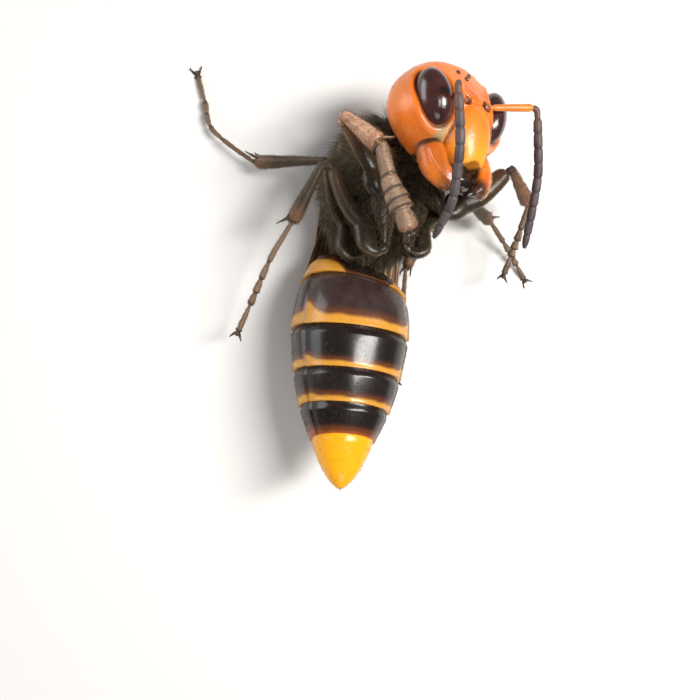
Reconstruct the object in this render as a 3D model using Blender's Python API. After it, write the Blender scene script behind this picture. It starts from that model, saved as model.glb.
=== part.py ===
"""Asian giant hornet queen, life size, lying on its back with its head turned to its left.

Body frames: x to the hornet's left, y forwards, z to its belly. The floor is at z = 0.
Sizes are in millimetres and become metres where a mesh is made.
"""
import math

import bmesh
import bpy
from mathutils import Euler, Matrix, Vector

MM = 0.001
GAP = 0.3
FLOOR = 0.0
SIDES = {"left": 1, "right": -1}

# Thorax, with its turn: pitch lifts the front, roll leans the belly over, yaw swings the front aside
THORAX_AT = (0.4, 1.6, 5.95)
THORAX_PITCH, THORAX_ROLL, THORAX_YAW = 20, 12, -14
# y, half width, depth of back, depth of belly
THORAX_FORM = (
    (-8.3, 1.5, 0.4, 3.0), (-7.7, 2.4, 1.4, 3.6), (-6.4, 3.6, 3.3, 4.3), (-4.6, 4.8, 4.8, 5.0),
    (-2.2, 5.6, 5.6, 5.4), (0.8, 6.0, 5.85, 5.6), (3.4, 5.7, 5.6, 5.2), (5.6, 5.0, 4.9, 4.4),
    (7.0, 3.9, 3.7, 3.2), (7.9, 2.4, 2.2, 2.0),
)
PROPODEUM_END, PRONOTUM_START = -4.3, 4.4
PETIOLE_HEIGHT = 1.8

# Head, with its turn in the floor frame
HEAD_AT = (5.35, 9.35, 15.0)
HEAD_TURN = (89, 23, -3)
HEAD_MIDDLE = -1.2
# z from crown to chin, half width, depth of face and of back from the middle
HEAD_FORM = (
    (-5.6, 1.5, 1.0, 0.8), (-5.2, 3.1, 1.8, 1.9), (-4.1, 4.9, 2.7, 3.2), (-2.4, 6.4, 4.0, 4.0),
    (-0.2, 7.2, 5.0, 3.9), (1.7, 6.9, 5.0, 3.3), (3.3, 5.8, 4.4, 2.4), (4.6, 4.5, 3.1, 1.5),
    (5.4, 3.4, 1.8, 1.0),
)
EYE_AT, EYE_RADII, EYE_FACING, EYE_LEAN = (4.4, 1.9, -0.5), (1.65, 1.9, 3.05), 52, -16
SOCKET_AT, SOCKET_DEPTH = (1.5, 3.6, -0.6), 0.6
# z, half width, depth of face; its inner side lies inside the head
CLYPEUS_FORM = (
    (-0.5, 1.3, 3.6), (0.4, 2.3, 4.35), (2.4, 2.9, 4.75), (4.3, 2.6, 4.7), (5.7, 1.9, 4.5), (6.2, 1.3, 4.2),
)
CLYPEUS_FLOOR = -1.5
# Mouth: the left mandible's way; the right one mirrors it. Then share of length, half depth, half width
MANDIBLE_WAY = ((3.6, 1.1, 4.8), (3.6, 1.9, 6.5), (2.7, 2.7, 7.9), (1.3, 3.2, 8.7))
MANDIBLE_GIRTH = ((0, 1.4, 1.15), (0.3, 1.5, 1.1), (0.6, 1.3, 0.95), (0.85, 0.95, 0.7), (1, 0.4, 0.4))
MANDIBLE_TEETH = ((0.55, 2.0), (0.72, 1.9), (0.88, 1.6))
MOUTH_WAY = ((0, -0.6, 3.8), (0, -0.5, 5.6), (0, 0.3, 7.2), (0, 1.1, 8.3))
MOUTH_GIRTH = ((0, 1.1, 1.7), (0.5, 1.0, 1.5), (0.85, 0.7, 1.0), (1, 0.4, 0.5))
NECK_GIRTH = ((0, 1.5, 1.6), (1, 1.3, 1.4))

# Gaster: way of its axis from the petiole to the sting, and its form along it
GASTER_WAY = (
    (-1.7, -8.0, 5.25), (-2.2, -10.0, 6.15), (-2.7, -13.6, 7.3), (-3.2, -19.6, 8.3), (-3.8, -25.6, 9.8),
    (-4.4, -31.7, 12.1),
)
# distance from the petiole, half width, depth of back, depth of belly
GASTER_FORM = (
    (0.0, 0.9, 0.8, 0.8), (0.75, 1.1, 0.9, 0.9), (1.05, 4.0, 2.0, 1.1), (1.6, 5.2, 3.2, 1.9),
    (2.5, 5.85, 4.2, 3.2), (4.0, 6.3, 5.1, 4.7), (6.5, 6.7, 5.8, 5.7), (9.0, 6.85, 6.0, 6.0),
    (12.0, 6.5, 5.8, 5.9), (15.0, 6.0, 5.4, 5.6), (18.0, 5.2, 4.7, 4.9), (20.5, 4.2, 3.9, 4.1),
    (22.5, 3.25, 3.1, 3.2), (24.5, 2.4, 2.3, 2.35), (26.2, 1.4, 1.4, 1.4), (27.2, 0.4, 0.4, 0.4),
)
GASTER_JOINTS = (0.0, 3.9, 9.3, 14.2, 18.2, 21.8, 27.2)

# Legs: root on the thorax; then length, azimuth from +Y towards +X, elevation of each length
LEGS = {
    "fore_right": (
        (-1.9, 5.0, 3.4), (5.8, -158, 33), (7.8, -37, 3), (5.2, 130, 43), (3.6, 164, 8), (5.7, 155, 3),
    ),
    "fore_left": (
        (1.9, 5.0, 3.4), (5.2, 158, 18), (9.1, 60, 2), (7.2, 114, -39), (4.6, -174, -19), (4.5, -166, -13),
    ),
    "mid_right": (
        (-2.2, 0.4, 4.2), (5.7, 176, 18), (9.8, -38, -4), (7.3, -147, -16), (4.6, -154, -19),
        (9.3, -161, -19),
    ),
    "mid_left": (
        (2.2, 0.4, 4.2), (5.2, -165, 27), (9.8, 49, -14), (9.1, 102, -42), (4.1, 131, -21), (5.7, 137, -10),
    ),
    "hind_right": (
        (-2.5, -3.6, 3.4), (3.1, -172, 21), (10.1, -24, -2), (9.4, -82, -41), (6.4, -54, -16), (6.8, -17, -6),
    ),
    "hind_left": (
        (2.5, -3.6, 3.4), (1.5, 151, 19), (9.9, 32, -19), (10.2, -164, -13), (6.0, 178, -14), (7.8, -179, -3),
    ),
}
ON_THE_FLOOR, FOOT_FLAT = ("mid_left", "hind_right", "hind_left"), 0.05
# how much thicker than the plain forms the coxa, femur and tibia are, and how far the femur bows
LEG_SWELL = {
    "fore_right": (1.0, 1.0, 1.5, 0.3), "fore_left": (1.0, 1.6, 1.1, 1.1), "mid_right": (1.0, 1.3, 1.0, 0.8),
    "mid_left": (1.1, 1.0, 1.0, 0.3), "hind_right": (1.0, 1.0, 1.0, 0.9), "hind_left": (1.0, 1.0, 1.0, 0.6),
}
SWELL_SHARE = 0.3
# half thickness in the plane of the leg and across it, at shares of the length
FEMUR_GIRTH = (
    (0, 0.34, 0.34), (0.08, 0.6, 0.5), (0.3, 0.98, 0.66), (0.6, 0.92, 0.62), (0.85, 0.68, 0.52),
    (1, 0.42, 0.4),
)
COXA_GIRTH = ((0, 1.5, 1.5), (0.3, 1.45, 1.4), (0.65, 0.9, 0.85), (0.88, 0.55, 0.52), (1, 0.34, 0.34))
TIBIA_GIRTH = ((0, 0.36, 0.36), (0.15, 0.42, 0.4), (0.5, 0.55, 0.5), (0.85, 0.74, 0.62), (1, 0.5, 0.5))
TOE_GIRTH = {
    "fore_right": 1.3, "fore_left": 0.5, "mid_right": 0.42, "mid_left": 0.42, "hind_right": 0.42,
    "hind_left": 0.42,
}
TOE_SHARES = (0.0, 0.38, 0.53, 0.65, 0.75, 1.0)
TOE_SWELL, BROAD_SWELL = (0.75, 0.9, 1.0, 1.0, 0.75), (0.62, 0.82, 1.0, 1.0, 0.9)
TOE_DEPTH = 0.6
HIP_RADIUS, KNEE_RADIUS, STUB = 1.05, 0.75, 0.2
CLAW_LENGTH, CLAW_GIRTH, CLAW_SPREAD = 1.1, 0.24, 38
SPUR_LENGTH, SPUR_GIRTH = 2.0, 0.25

# Antennae, in the floor frame: where the scape ends, then the way of the flagellum
SCAPE_GIRTH, FLAGELLUM_GIRTH, ANTENNA_GAP = 0.42, 0.48, 0.42
SCAPE_FORM = ((0, 0.5, 0.5), (0.2, 0.34, 0.34), (0.8, SCAPE_GIRTH, SCAPE_GIRTH), (1, 0.36, 0.36))
ANTENNAE = {
    "right": ((3.2, 10.4, 22.3), (3.5, 4.8, 22.6), (3.7, 1.5, 21.6), (3.7, -1.1, 20.6), (3.2, -3.3, 19.0),
              (2.9, -4.5, 18.0)),
    "left": ((13.7, 10.5, 17.6), (14.7, 7.4, 17.3), (15.3, 3.6, 16.5), (15.3, -0.2, 15.5),
             (15.3, -4.2, 14.0)),
}

# Wings: way of the folded forewing over the floor, from root to tip, as floor points
WING_WAYS = {
    "right": ((-4.7, 5.5, 6.0), (-6.0, 3.4, 3.7), (-5.5, 0.3, 1.6), (-5.0, -3.4, 0.75), (-4.2, -7.6, 0.3),
              (-3.6, -13.6, 0.25), (-3.9, -19.6, 0.25), (-4.4, -27.0, 0.25)),
    "left": ((6.2, 3.7, 3.8), (6.3, 0.85, 1.6), (5.0, -2.5, 0.6), (2.6, -7.0, 0.3), (1.3, -11.0, 0.25),
             (1.1, -15.6, 0.25), (0.7, -21.0, 0.25), (-0.3, -28.6, 0.25)),
}
WING_THICKNESS, VEIN_HEIGHT = 0.5, 0.13
TEGULA_AT, TEGULA_RADII = (5.9, 3.5, -0.9), (0.9, 1.1, 0.9)
# share of the length, half width
FOREWING_FORM = (
    (0, 0.45), (0.1, 0.55), (0.2, 0.85), (0.32, 1.3), (0.45, 1.75), (0.6, 2.1), (0.78, 2.2), (0.9, 1.85),
    (0.97, 1.2), (1, 0.5),
)
HINDWING_FORM = ((0, 0.45), (0.15, 0.8), (0.4, 1.15), (0.75, 1.2), (0.93, 0.85), (1, 0.35))
HINDWING_SPAN, HINDWING_LIFT, HINDWING_SHIFT = (0.14, 0.68), 1.0, 2.0
# steep against the thorax's flank, and flat on the floor past the banked share
WING_BANK, BANKED_SHARE, BANK_EASE = 58, 0.42, 0.2
FOREWING_VEINS, HINDWING_VEINS = (-0.45, 0.15, 0.78), (-0.3, 0.7)

COLOURS = {
    "orange": (0.80, 0.28, 0.03), "yellow": (0.85, 0.45, 0.05), "dark": (0.030, 0.018, 0.012),
    "brown": (0.10, 0.055, 0.03), "tan": (0.30, 0.18, 0.10), "eye": (0.05, 0.015, 0.012),
    "grey": (0.10, 0.07, 0.07), "wing": (0.22, 0.12, 0.04),
}


def clear_scene():
    for old in list(bpy.data.objects):
        bpy.data.objects.remove(old, do_unlink=True)


def material(colour, roughness=0.35):
    found = bpy.data.materials.get(colour)
    if found:
        return found
    made = bpy.data.materials.new(colour)
    made.use_nodes = True
    shader = made.node_tree.nodes["Principled BSDF"]
    shader.inputs["Base Color"].default_value = (*COLOURS[colour], 1)
    shader.inputs["Roughness"].default_value = roughness
    shader.inputs["Metallic"].default_value = 0
    made.diffuse_color = (*COLOURS[colour], 1)
    return made


def body_frame(name, place, turn):
    empty = bpy.data.objects.new(name, None)
    empty.matrix_world = Matrix.Translation(Vector(place) * MM) @ turn.to_4x4()
    bpy.context.scene.collection.objects.link(empty)
    return empty


def solid(name, bm, colour, frame=None):
    """A closed object from a mesh in millimetres."""
    bmesh.ops.recalc_face_normals(bm, faces=bm.faces)
    bm.transform(Matrix.Scale(MM, 4))
    mesh = bpy.data.meshes.new(name)
    bm.to_mesh(mesh)
    bm.free()
    mesh.materials.append(material(colour))
    made = bpy.data.objects.new(name, mesh)
    made.parent = frame
    bpy.context.scene.collection.objects.link(made)
    return made


def keep_largest(mesh):
    """Keep the closed surface that holds the most, and drop the rest."""
    bm = bmesh.new()
    bm.from_mesh(mesh)
    left = set(bm.verts)
    shells = []
    while left:
        shell, edge_of = set(), [left.pop()]
        while edge_of:
            vert = edge_of.pop()
            shell.add(vert)
            near = {edge.other_vert(vert) for edge in vert.link_edges} & left
            left -= near
            edge_of.extend(near)
        shells.append(shell)
    shells.sort(key=shell_size)
    bmesh.ops.delete(bm, geom=[vert for shell in shells[:-1] for vert in shell], context="VERTS")
    bm.to_mesh(mesh)
    bm.free()


def shell_size(shell):
    corners = [vert.co for vert in shell]
    spans = [max(c[i] for c in corners) - min(c[i] for c in corners) for i in range(3)]
    return spans[0] * spans[1] * spans[2]


def apply_modifiers(target):
    bpy.context.view_layer.update()
    graph = bpy.context.evaluated_depsgraph_get()
    shape = bpy.data.meshes.new_from_object(target.evaluated_get(graph))
    target.modifiers.clear()
    target.data = shape
    keep_largest(shape)


def carve(target, cutter, remove=False, solver="EXACT"):
    """Cut one object out of another."""
    cut = target.modifiers.new("cut", "BOOLEAN")
    cut.operation, cut.object, cut.solver = "DIFFERENCE", cutter, solver
    apply_modifiers(target)
    if remove:
        bpy.data.objects.remove(cutter, do_unlink=True)


def fuse(target, pieces, solver="EXACT"):
    """Join pieces to an object as one body."""
    group = bpy.data.collections.new("pieces")
    for piece in pieces:
        group.objects.link(piece)
    union = target.modifiers.new("union", "BOOLEAN")
    union.operation, union.solver = "UNION", solver
    union.operand_type, union.collection = "COLLECTION", group
    apply_modifiers(target)
    for piece in pieces:
        bpy.data.objects.remove(piece, do_unlink=True)
    bpy.data.collections.remove(group)


def as_guide(guide):
    guide.hide_render, guide.display_type = True, "WIRE"
    return guide


def blend(stations, at):
    """Values of a form at a place between its stations."""
    for low, high in zip(stations, stations[1:]):
        if at <= high[0]:
            share = max(0.0, (at - low[0]) / (high[0] - low[0]))
            return [a + (b - a) * share for a, b in zip(low[1:], high[1:])]
    return list(stations[-1][1:])


def smooth_way(points, count):
    """Evenly spaced points on a smooth curve through the given ones."""
    knots = [Vector(p) for p in points]
    knots = [2 * knots[0] - knots[1], *knots, 2 * knots[-1] - knots[-2]]
    fine = []
    for a, b, c, d in zip(knots, knots[1:], knots[2:], knots[3:]):
        for step in range(12):
            t = step / 12
            fine.append(0.5 * (2 * b + (c - a) * t + (2 * a - 5 * b + 4 * c - d) * t**2
                               + (3 * b - a - 3 * c + d) * t**3))
    fine.append(knots[-2])
    return respace(fine, [i / (count - 1) for i in range(count)])


def respace(line, shares):
    """Points of a line at shares of its length."""
    run = [0.0]
    for a, b in zip(line, line[1:]):
        run.append(run[-1] + (b - a).length)
    found = []
    for share in shares:
        goal, i = share * run[-1], 1
        while i < len(run) - 1 and run[i] < goal:
            i += 1
        part = (goal - run[i - 1]) / max(run[i] - run[i - 1], 1e-9)
        found.append(line[i - 1].lerp(line[i], part))
    return found


def oval(centre, across, upward, half_width, over, under, sides, power=2.0):
    """Closed ring: half_width to each side, over along upward and under against it."""
    ring = []
    for i in range(sides):
        angle = 2 * math.pi * (i + 0.5) / sides
        c, s = math.cos(angle), math.sin(angle)
        x = math.copysign(abs(c) ** (2 / power), c) * half_width
        z = math.copysign(abs(s) ** (2 / power), s) * (over if s > 0 else under)
        ring.append(centre + across * x + upward * z)
    return ring


def loft(rings):
    """A closed body through rings of equal count, flat at both ends."""
    bm = bmesh.new()
    loops = [[bm.verts.new(p) for p in ring] for ring in rings]
    for low, high in zip(loops, loops[1:]):
        for i, vert in enumerate(low):
            after = (i + 1) % len(low)
            bm.faces.new((vert, low[after], high[after], high[i]))
    bm.faces.new(loops[0])
    bm.faces.new(loops[-1])
    return bm


def turning_frames(way, across):
    """Unit vectors across and upward at each point of a way, without twist."""
    frames = []
    for i, point in enumerate(way):
        ahead = (way[min(i + 1, len(way) - 1)] - way[max(i - 1, 0)]).normalized()
        across = (across - ahead * across.dot(ahead)).normalized()
        frames.append((point, across, across.cross(ahead)))
    return frames


def limb(way, girth, sides, across):
    """A tube along a way. Girth: share of the length, half thickness in its plane and across it."""
    lengths = [0.0]
    for a, b in zip(way, way[1:]):
        lengths.append(lengths[-1] + (b - a).length)
    shares = sorted({round(x / lengths[-1], 4) for x in lengths} | {g[0] for g in girth})
    shares = [s for i, s in enumerate(shares) if i == 0 or s - shares[i - 1] > 0.012 or s == 1]
    rings = []
    for (point, side, upward), share in zip(turning_frames(respace(way, shares), across), shares):
        in_plane, cross = blend(girth, share)
        rings.append(oval(point, side, upward, cross, in_plane, in_plane, sides))
    return loft(rings)


def heading(azimuth, elevation):
    a, e = math.radians(azimuth), math.radians(elevation)
    return Vector((math.sin(a) * math.cos(e), math.cos(a) * math.cos(e), math.sin(e)))


def elbow(start, way, goal, radius):
    """Points that leave start along way and turn on the radius until they face the goal."""
    step = math.radians(24)
    way = way.normalized()
    here = start + way * STUB
    points = [start.copy(), here.copy()]
    for _ in range(9):
        to_goal = (goal - here).normalized()
        if way.angle(to_goal) < step:
            break
        way = Matrix.Rotation(step, 3, way.cross(to_goal).normalized()) @ way
        here = here + way * radius * step
        points.append(here.copy())
    points.append(goal.copy())
    return points


def thorax_rings(start, end, grow=0.0, steps=6):
    rings = []
    for i in range(steps + 1):
        y = start + (end - start) * i / steps
        width, back, belly = blend(THORAX_FORM, y)
        rings.append(oval(Vector((0, y, 0)), Vector((1, 0, 0)), Vector((0, 0, 1)),
                          width + grow, belly + grow, back + grow, 22, 2.15))
    return rings


def floor_slab():
    """A guide that fills the space under the floor."""
    bm = bmesh.new()
    bmesh.ops.create_cube(bm, size=1)
    bm.transform(Matrix.Translation((0, 0, FLOOR - 5)) @ Matrix.Diagonal((120, 120, 10, 1)))
    return as_guide(solid("floor_slab", bm, "dark"))


def make_thorax(frame, slab):
    lengths = {
        "propodeum": (THORAX_FORM[0][0], PROPODEUM_END),
        "mesothorax": (PROPODEUM_END + GAP, PRONOTUM_START),
        "pronotum": (PRONOTUM_START + GAP, THORAX_FORM[-1][0]),
    }
    for name, (start, end) in lengths.items():
        body = solid(name, loft(thorax_rings(start, end)), "brown", frame)
        carve(body, slab)
    clear = thorax_rings(THORAX_FORM[0][0] - GAP, THORAX_FORM[-1][0] + GAP, GAP, 18)
    return as_guide(solid("thorax_clearance", loft(clear), "brown", frame))


def head_rings(grow=0.0):
    rings = []
    crown, chin = HEAD_FORM[0][0], HEAD_FORM[-1][0]
    for i in range(13):
        z = crown + (chin - crown) * (1 - math.cos(math.pi * i / 12)) / 2
        width, face, back = blend(HEAD_FORM, z)
        stretch = 1 + grow / 6
        rings.append(oval(Vector((0, HEAD_MIDDLE, z * stretch)), Vector((1, 0, 0)), Vector((0, 1, 0)),
                          width + grow, face + grow, back + grow, 26, 2.4))
    return rings


def make_eye(side, name, grow, frame):
    bm = bmesh.new()
    bmesh.ops.create_uvsphere(bm, u_segments=16, v_segments=12, radius=1)
    radii = Vector(EYE_RADII) + Vector((grow, grow, grow))
    facing = Matrix.Rotation(math.radians(EYE_FACING), 4, "Z")
    facing = facing @ Matrix.Rotation(math.radians(EYE_LEAN), 4, "X")
    mirrored = Matrix.Scale(side, 4, Vector((1, 0, 0)))
    bm.transform(mirrored @ Matrix.Translation(Vector(EYE_AT)) @ facing @ Matrix.Diagonal((*radii, 1)))
    return solid(name, bm, "eye", frame)


def make_clypeus(frame):
    """The plate over the mouth."""
    rings = []
    for z, width, face in CLYPEUS_FORM:
        rings.append(oval(Vector((0, 0, z)), Vector((1, 0, 0)), Vector((0, 1, 0)), width, face,
                          CLYPEUS_FLOOR, 16, 2.6))
    return solid("clypeus", loft(rings), "yellow", frame)


def make_head(frame):
    head = solid("head", loft(head_rings()), "orange", frame)
    fuse(head, [make_clypeus(frame)])
    for name, side in SIDES.items():
        carve(head, make_eye(side, "socket", GAP, frame), remove=True)
        make_eye(side, f"eye_{name}", 0, frame)
    return as_guide(solid("head_clearance", loft(head_rings(GAP)), "orange", frame))


def make_mandible(name, side, frame, clear):
    """A curved jaw that narrows to its tip, with teeth along its inner edge."""
    way = smooth_way([(side * x, y, z) for x, y, z in MANDIBLE_WAY], 9)
    across = Vector((side * 0.75, 0.6, 0))
    body = solid(f"mandible_{name}", limb(way, MANDIBLE_GIRTH, 12, across), "orange", frame)
    inward = Vector((-side * 0.95, 0.0, 0.3)).normalized()
    teeth = []
    for share, reach in MANDIBLE_TEETH:
        foot = respace(way, [share])[0]
        tooth = limb([foot, foot + inward * reach], ((0, 0.5, 0.5), (1, 0.12, 0.12)), 6, Vector((0, 1, 0)))
        teeth.append(solid("tooth", tooth, "dark", frame))
    fuse(body, teeth)
    carve(body, clear)


def make_mouthparts(frame, clear):
    """Labium and maxillae, a short bundle behind the mandibles."""
    bundle = limb(smooth_way(MOUTH_WAY, 5), MOUTH_GIRTH, 12, Vector((1, 0, 0)))
    body = solid("mouthparts", bundle, "brown", frame)
    carve(body, clear)


def make_neck(thorax, head, thorax_clear, head_clear):
    start = thorax @ Vector((0, THORAX_FORM[-1][0] - 0.8, 0.3))
    end = head @ Vector((0, HEAD_MIDDLE - HEAD_FORM[4][3] + 1.2, 0.8))
    way = [start.lerp(end, i / 4) for i in range(5)]
    neck = solid("neck", limb(way, NECK_GIRTH, 14, Vector((1, 0, 0))), "dark")
    carve(neck, thorax_clear)
    carve(neck, head_clear)


def gaster_way(petiole, backward):
    return smooth_way([petiole, petiole + backward * 0.8, *GASTER_WAY], 81)


def gaster_ring(frames, mark, scale):
    """The gaster's outline at a distance from the petiole, its belly side against upward."""
    at = mark / GASTER_FORM[-1][0] * (len(frames) - 1)
    low = min(int(at), len(frames) - 2)
    share = at - low
    point, side, upward = [a.lerp(b, share) for a, b in zip(frames[low], frames[low + 1])]
    width, back, belly = blend(GASTER_FORM, mark)
    return oval(point, side.normalized(), upward.normalized(), width * scale, back * scale,
                belly * scale, 26, 2.1)


def make_gaster(petiole, backward):
    frames = turning_frames(gaster_way(petiole, backward), Vector((1, 0, 0)))
    for number, (start, end) in enumerate(zip(GASTER_JOINTS, GASTER_JOINTS[1:]), 1):
        start += GAP if number > 1 else 0
        marks = {row[0] for row in GASTER_FORM if start + 0.7 < row[0] < end - 0.3}
        marks = sorted(marks | {start, start + 0.5, end})
        rings = [gaster_ring(frames, mark, 0.965 if mark == start and number > 1 else 1.0) for mark in marks]
        solid(f"gaster_{number}", loft(rings), "yellow" if number == 6 else "dark")


def swollen(girth, factor):
    """A girth that grows to factor times itself over the first third of the length."""
    stations = []
    for share, in_plane, cross in girth:
        grown = 1 + (factor - 1) * min(1.0, share / SWELL_SHARE)
        stations.append((share, in_plane * grown, cross * grown))
    return tuple(stations)


def bowed(start, goal, towards, height):
    """Points between two joints on an arc that rises to height on the given side."""
    along = (goal - start).normalized()
    rise = (towards - along * towards.dot(along)).normalized() * height
    return [start.lerp(goal, t) + rise * math.sin(math.pi * t) for t in (0.3, 0.5, 0.7, 0.85, 1.0)]


def make_leg(name, plan, thorax, clearances, slab):
    """Coxa, femur, tibia with a spur and tarsus with claws, end to end."""
    root, *lengths = plan
    joints = [thorax @ Vector(root)]
    for length, azimuth, elevation in lengths:
        joints.append(joints[-1] + heading(azimuth, elevation) * length)
    low = TOE_GIRTH[name] * TOE_DEPTH
    if name in ON_THE_FLOOR:
        joints[-1].z = low - FOOT_FLAT
        joints[-2].z = max(joints[-2].z, low + 0.3)
    root, hip, knee, ankle, ball, tip = joints
    bend = (knee - hip).cross(ankle - knee).normalized()

    coxa_way = [root, root.lerp(hip, 0.3), root.lerp(hip, 0.65), hip]
    coxa_swell, femur_swell, tibia_swell, bow = LEG_SWELL[name]
    coxa = solid(f"leg_{name}_coxa", limb(coxa_way, swollen(COXA_GIRTH, coxa_swell), 12, bend), "brown")
    for clear in clearances:
        carve(coxa, clear)

    out = (hip - root).normalized()
    arc = bowed(hip, knee, ankle - knee, bow)
    femur_way = elbow(hip + out * GAP, out, arc[0], HIP_RADIUS) + arc[1:]
    femur = solid(f"leg_{name}_femur", limb(femur_way, swollen(FEMUR_GIRTH, femur_swell), 10, bend), "dark")
    carve(femur, clearances[0])
    roomy = tuple((share, a + GAP, b + GAP) for share, a, b in swollen(COXA_GIRTH, coxa_swell))
    room = limb([*coxa_way[:-1], hip + out * GAP / 2], roomy, 12, bend)
    carve(femur, as_guide(solid("coxa_room", room, "brown")), remove=True)
    out = (femur_way[-1] - femur_way[-2]).normalized()
    tibia_way = elbow(knee + out * GAP, out, ankle, KNEE_RADIUS)
    tibia = solid(f"leg_{name}_tibia", limb(tibia_way, swollen(TIBIA_GIRTH, tibia_swell), 10, bend), "tan")
    out = (tibia_way[-1] - tibia_way[-2]).normalized()
    fuse(tibia, [make_spur(ankle, out, bend)])

    toe_way = elbow(ankle + out * GAP, out, ball, KNEE_RADIUS) + [ball.lerp(tip, 0.5), tip]
    level = Vector((0, 0, 1)).cross(tip - ball).normalized()
    toes = solid(f"leg_{name}_tarsus", limb(toe_way, toe_profile(name), 8, level), "tan")
    fuse(toes, make_claws(tip, (tip - ball).normalized(), level), "MANIFOLD")
    if name in ON_THE_FLOOR:
        carve(toes, slab, solver="MANIFOLD")


def toe_profile(name):
    """Basitarsus and four toe joints, each wider at its far end."""
    wide = TOE_GIRTH[name]
    swells = BROAD_SWELL if name == "fore_right" else TOE_SWELL
    stations = [(0, 0.3, 0.3)]
    for start, end, swell in zip(TOE_SHARES, TOE_SHARES[1:], swells):
        stations.append((start + 0.02, wide * TOE_DEPTH * 0.75, wide * swell * 0.7))
        stations.append((end - 0.02, wide * TOE_DEPTH, wide * swell))
    stations.append((1, 0.31, 0.4))
    return tuple(stations)


def make_claws(tip, ahead, level):
    """Two claws that spread from the tip of the foot and curl."""
    curl = ahead.cross(level).normalized()
    girth = ((0, CLAW_GIRTH, CLAW_GIRTH), (0.6, CLAW_GIRTH * 0.7, CLAW_GIRTH * 0.7), (1, 0.08, 0.08))
    claws = []
    for side in (-1, 1):
        out = Matrix.Rotation(math.radians(side * CLAW_SPREAD), 3, curl) @ ahead
        way = [tip - out * 0.42, tip + out * CLAW_LENGTH * 0.6, tip + out * CLAW_LENGTH + curl * 0.3]
        claws.append(solid("claw", limb(way, girth, 6, level), "dark"))
    return claws


def make_spur(ankle, ahead, bend):
    """A spine at the tibia's far end."""
    inner = ahead.cross(bend)
    out = (ahead * 0.9 + inner * 0.55).normalized()
    way = [ankle - ahead * 0.8 + inner * 0.15, ankle - ahead * 0.8 + out * SPUR_LENGTH]
    return solid("spur", limb(way, ((0, SPUR_GIRTH, SPUR_GIRTH), (1, 0.08, 0.08)), 6, bend), "tan")


def make_antenna(name, side, head, head_clear):
    """Scape from the socket to the elbow, then the flagellum in two lengths."""
    socket = head @ Vector((side * SOCKET_AT[0], SOCKET_AT[1] - SOCKET_DEPTH, SOCKET_AT[2]))
    elbow_at, *rest = [Vector(p) for p in ANTENNAE[name]]
    across = Vector((0, 0, 1)) if side > 0 else Vector((0, 1, 0))
    scape_way = [socket.lerp(elbow_at, i / 5) for i in range(6)]
    scape = solid(f"antenna_{name}_scape", limb(scape_way, SCAPE_FORM, 10, across), "orange")
    carve(scape, head_clear)

    out = (elbow_at - socket).normalized()
    turned = elbow(elbow_at + out * ANTENNA_GAP, out, rest[0], 0.6)
    run = respace(smooth_way([*turned, *rest[1:]], 61), [i / 20 for i in range(21)])
    thick, slim = FLAGELLUM_GIRTH, FLAGELLUM_GIRTH * 0.85
    base = limb(run[:11], ((0, 0.3, 0.3), (0.06, slim, slim), (1, thick, thick)), 8, across)
    solid(f"antenna_{name}_base", base, "grey")
    start = run[10] + (run[11] - run[10]).normalized() * GAP
    narrowing = ((0, thick, thick), (0.8, thick * 0.95, thick * 0.95), (1, 0.18, 0.18))
    solid(f"antenna_{name}_tip", limb([start, *run[11:]], narrowing, 8, across), "grey")


def vein_columns(veins):
    """Places across a wing, from -1 at its inner edge to 1, each with the share of a vein's height."""
    columns = [(-1.0, 0.0)]
    for place in veins:
        columns += [(place - 0.1, 0.0), (place, 1.0), (place + 0.1, 0.0)]
    columns.append((1.0, 0.0))
    return columns


def wing_sheet(bed, form, span, shift, lift, veins, stations, grow=0.0):
    """A thin plate on the bed, with its veins raised from the upper face."""
    columns = vein_columns(veins)
    bm = bmesh.new()
    rows = []
    for i in range(stations):
        share = i / (stations - 1)
        at = span[0] + (span[1] - span[0]) * share
        point, across, upward = bed(at)
        half = blend(form, share)[0] + grow
        centre = point + across * shift(at) + upward * lift
        thick = WING_THICKNESS + 2 * grow
        levels = []
        for top in (0, 1):
            heights = [(place, raised * VEIN_HEIGHT * top + (top - 0.5) * thick) for place, raised in columns]
            levels.append([centre + across * place * half + upward * height for place, height in heights])
        rise = Vector((0, 0, max(0.0, FLOOR - min(spot.z for level in levels for spot in level))))
        rows.append([[bm.verts.new(spot + rise) for spot in level] for level in levels])
    for near, far in zip(rows, rows[1:]):
        for level in (0, 1):
            for i in range(len(columns) - 1):
                a, b, c, d = near[level][i], near[level][i + 1], far[level][i + 1], far[level][i]
                bm.faces.new((a, b, c))
                bm.faces.new((a, c, d))
        for edge in (0, -1):
            bm.faces.new((near[0][edge], near[1][edge], far[1][edge], far[0][edge]))
    for row in (rows[0], rows[-1]):
        for i in range(len(columns) - 1):
            bm.faces.new((row[0][i], row[0][i + 1], row[1][i + 1], row[1][i]))
    return bm


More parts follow.
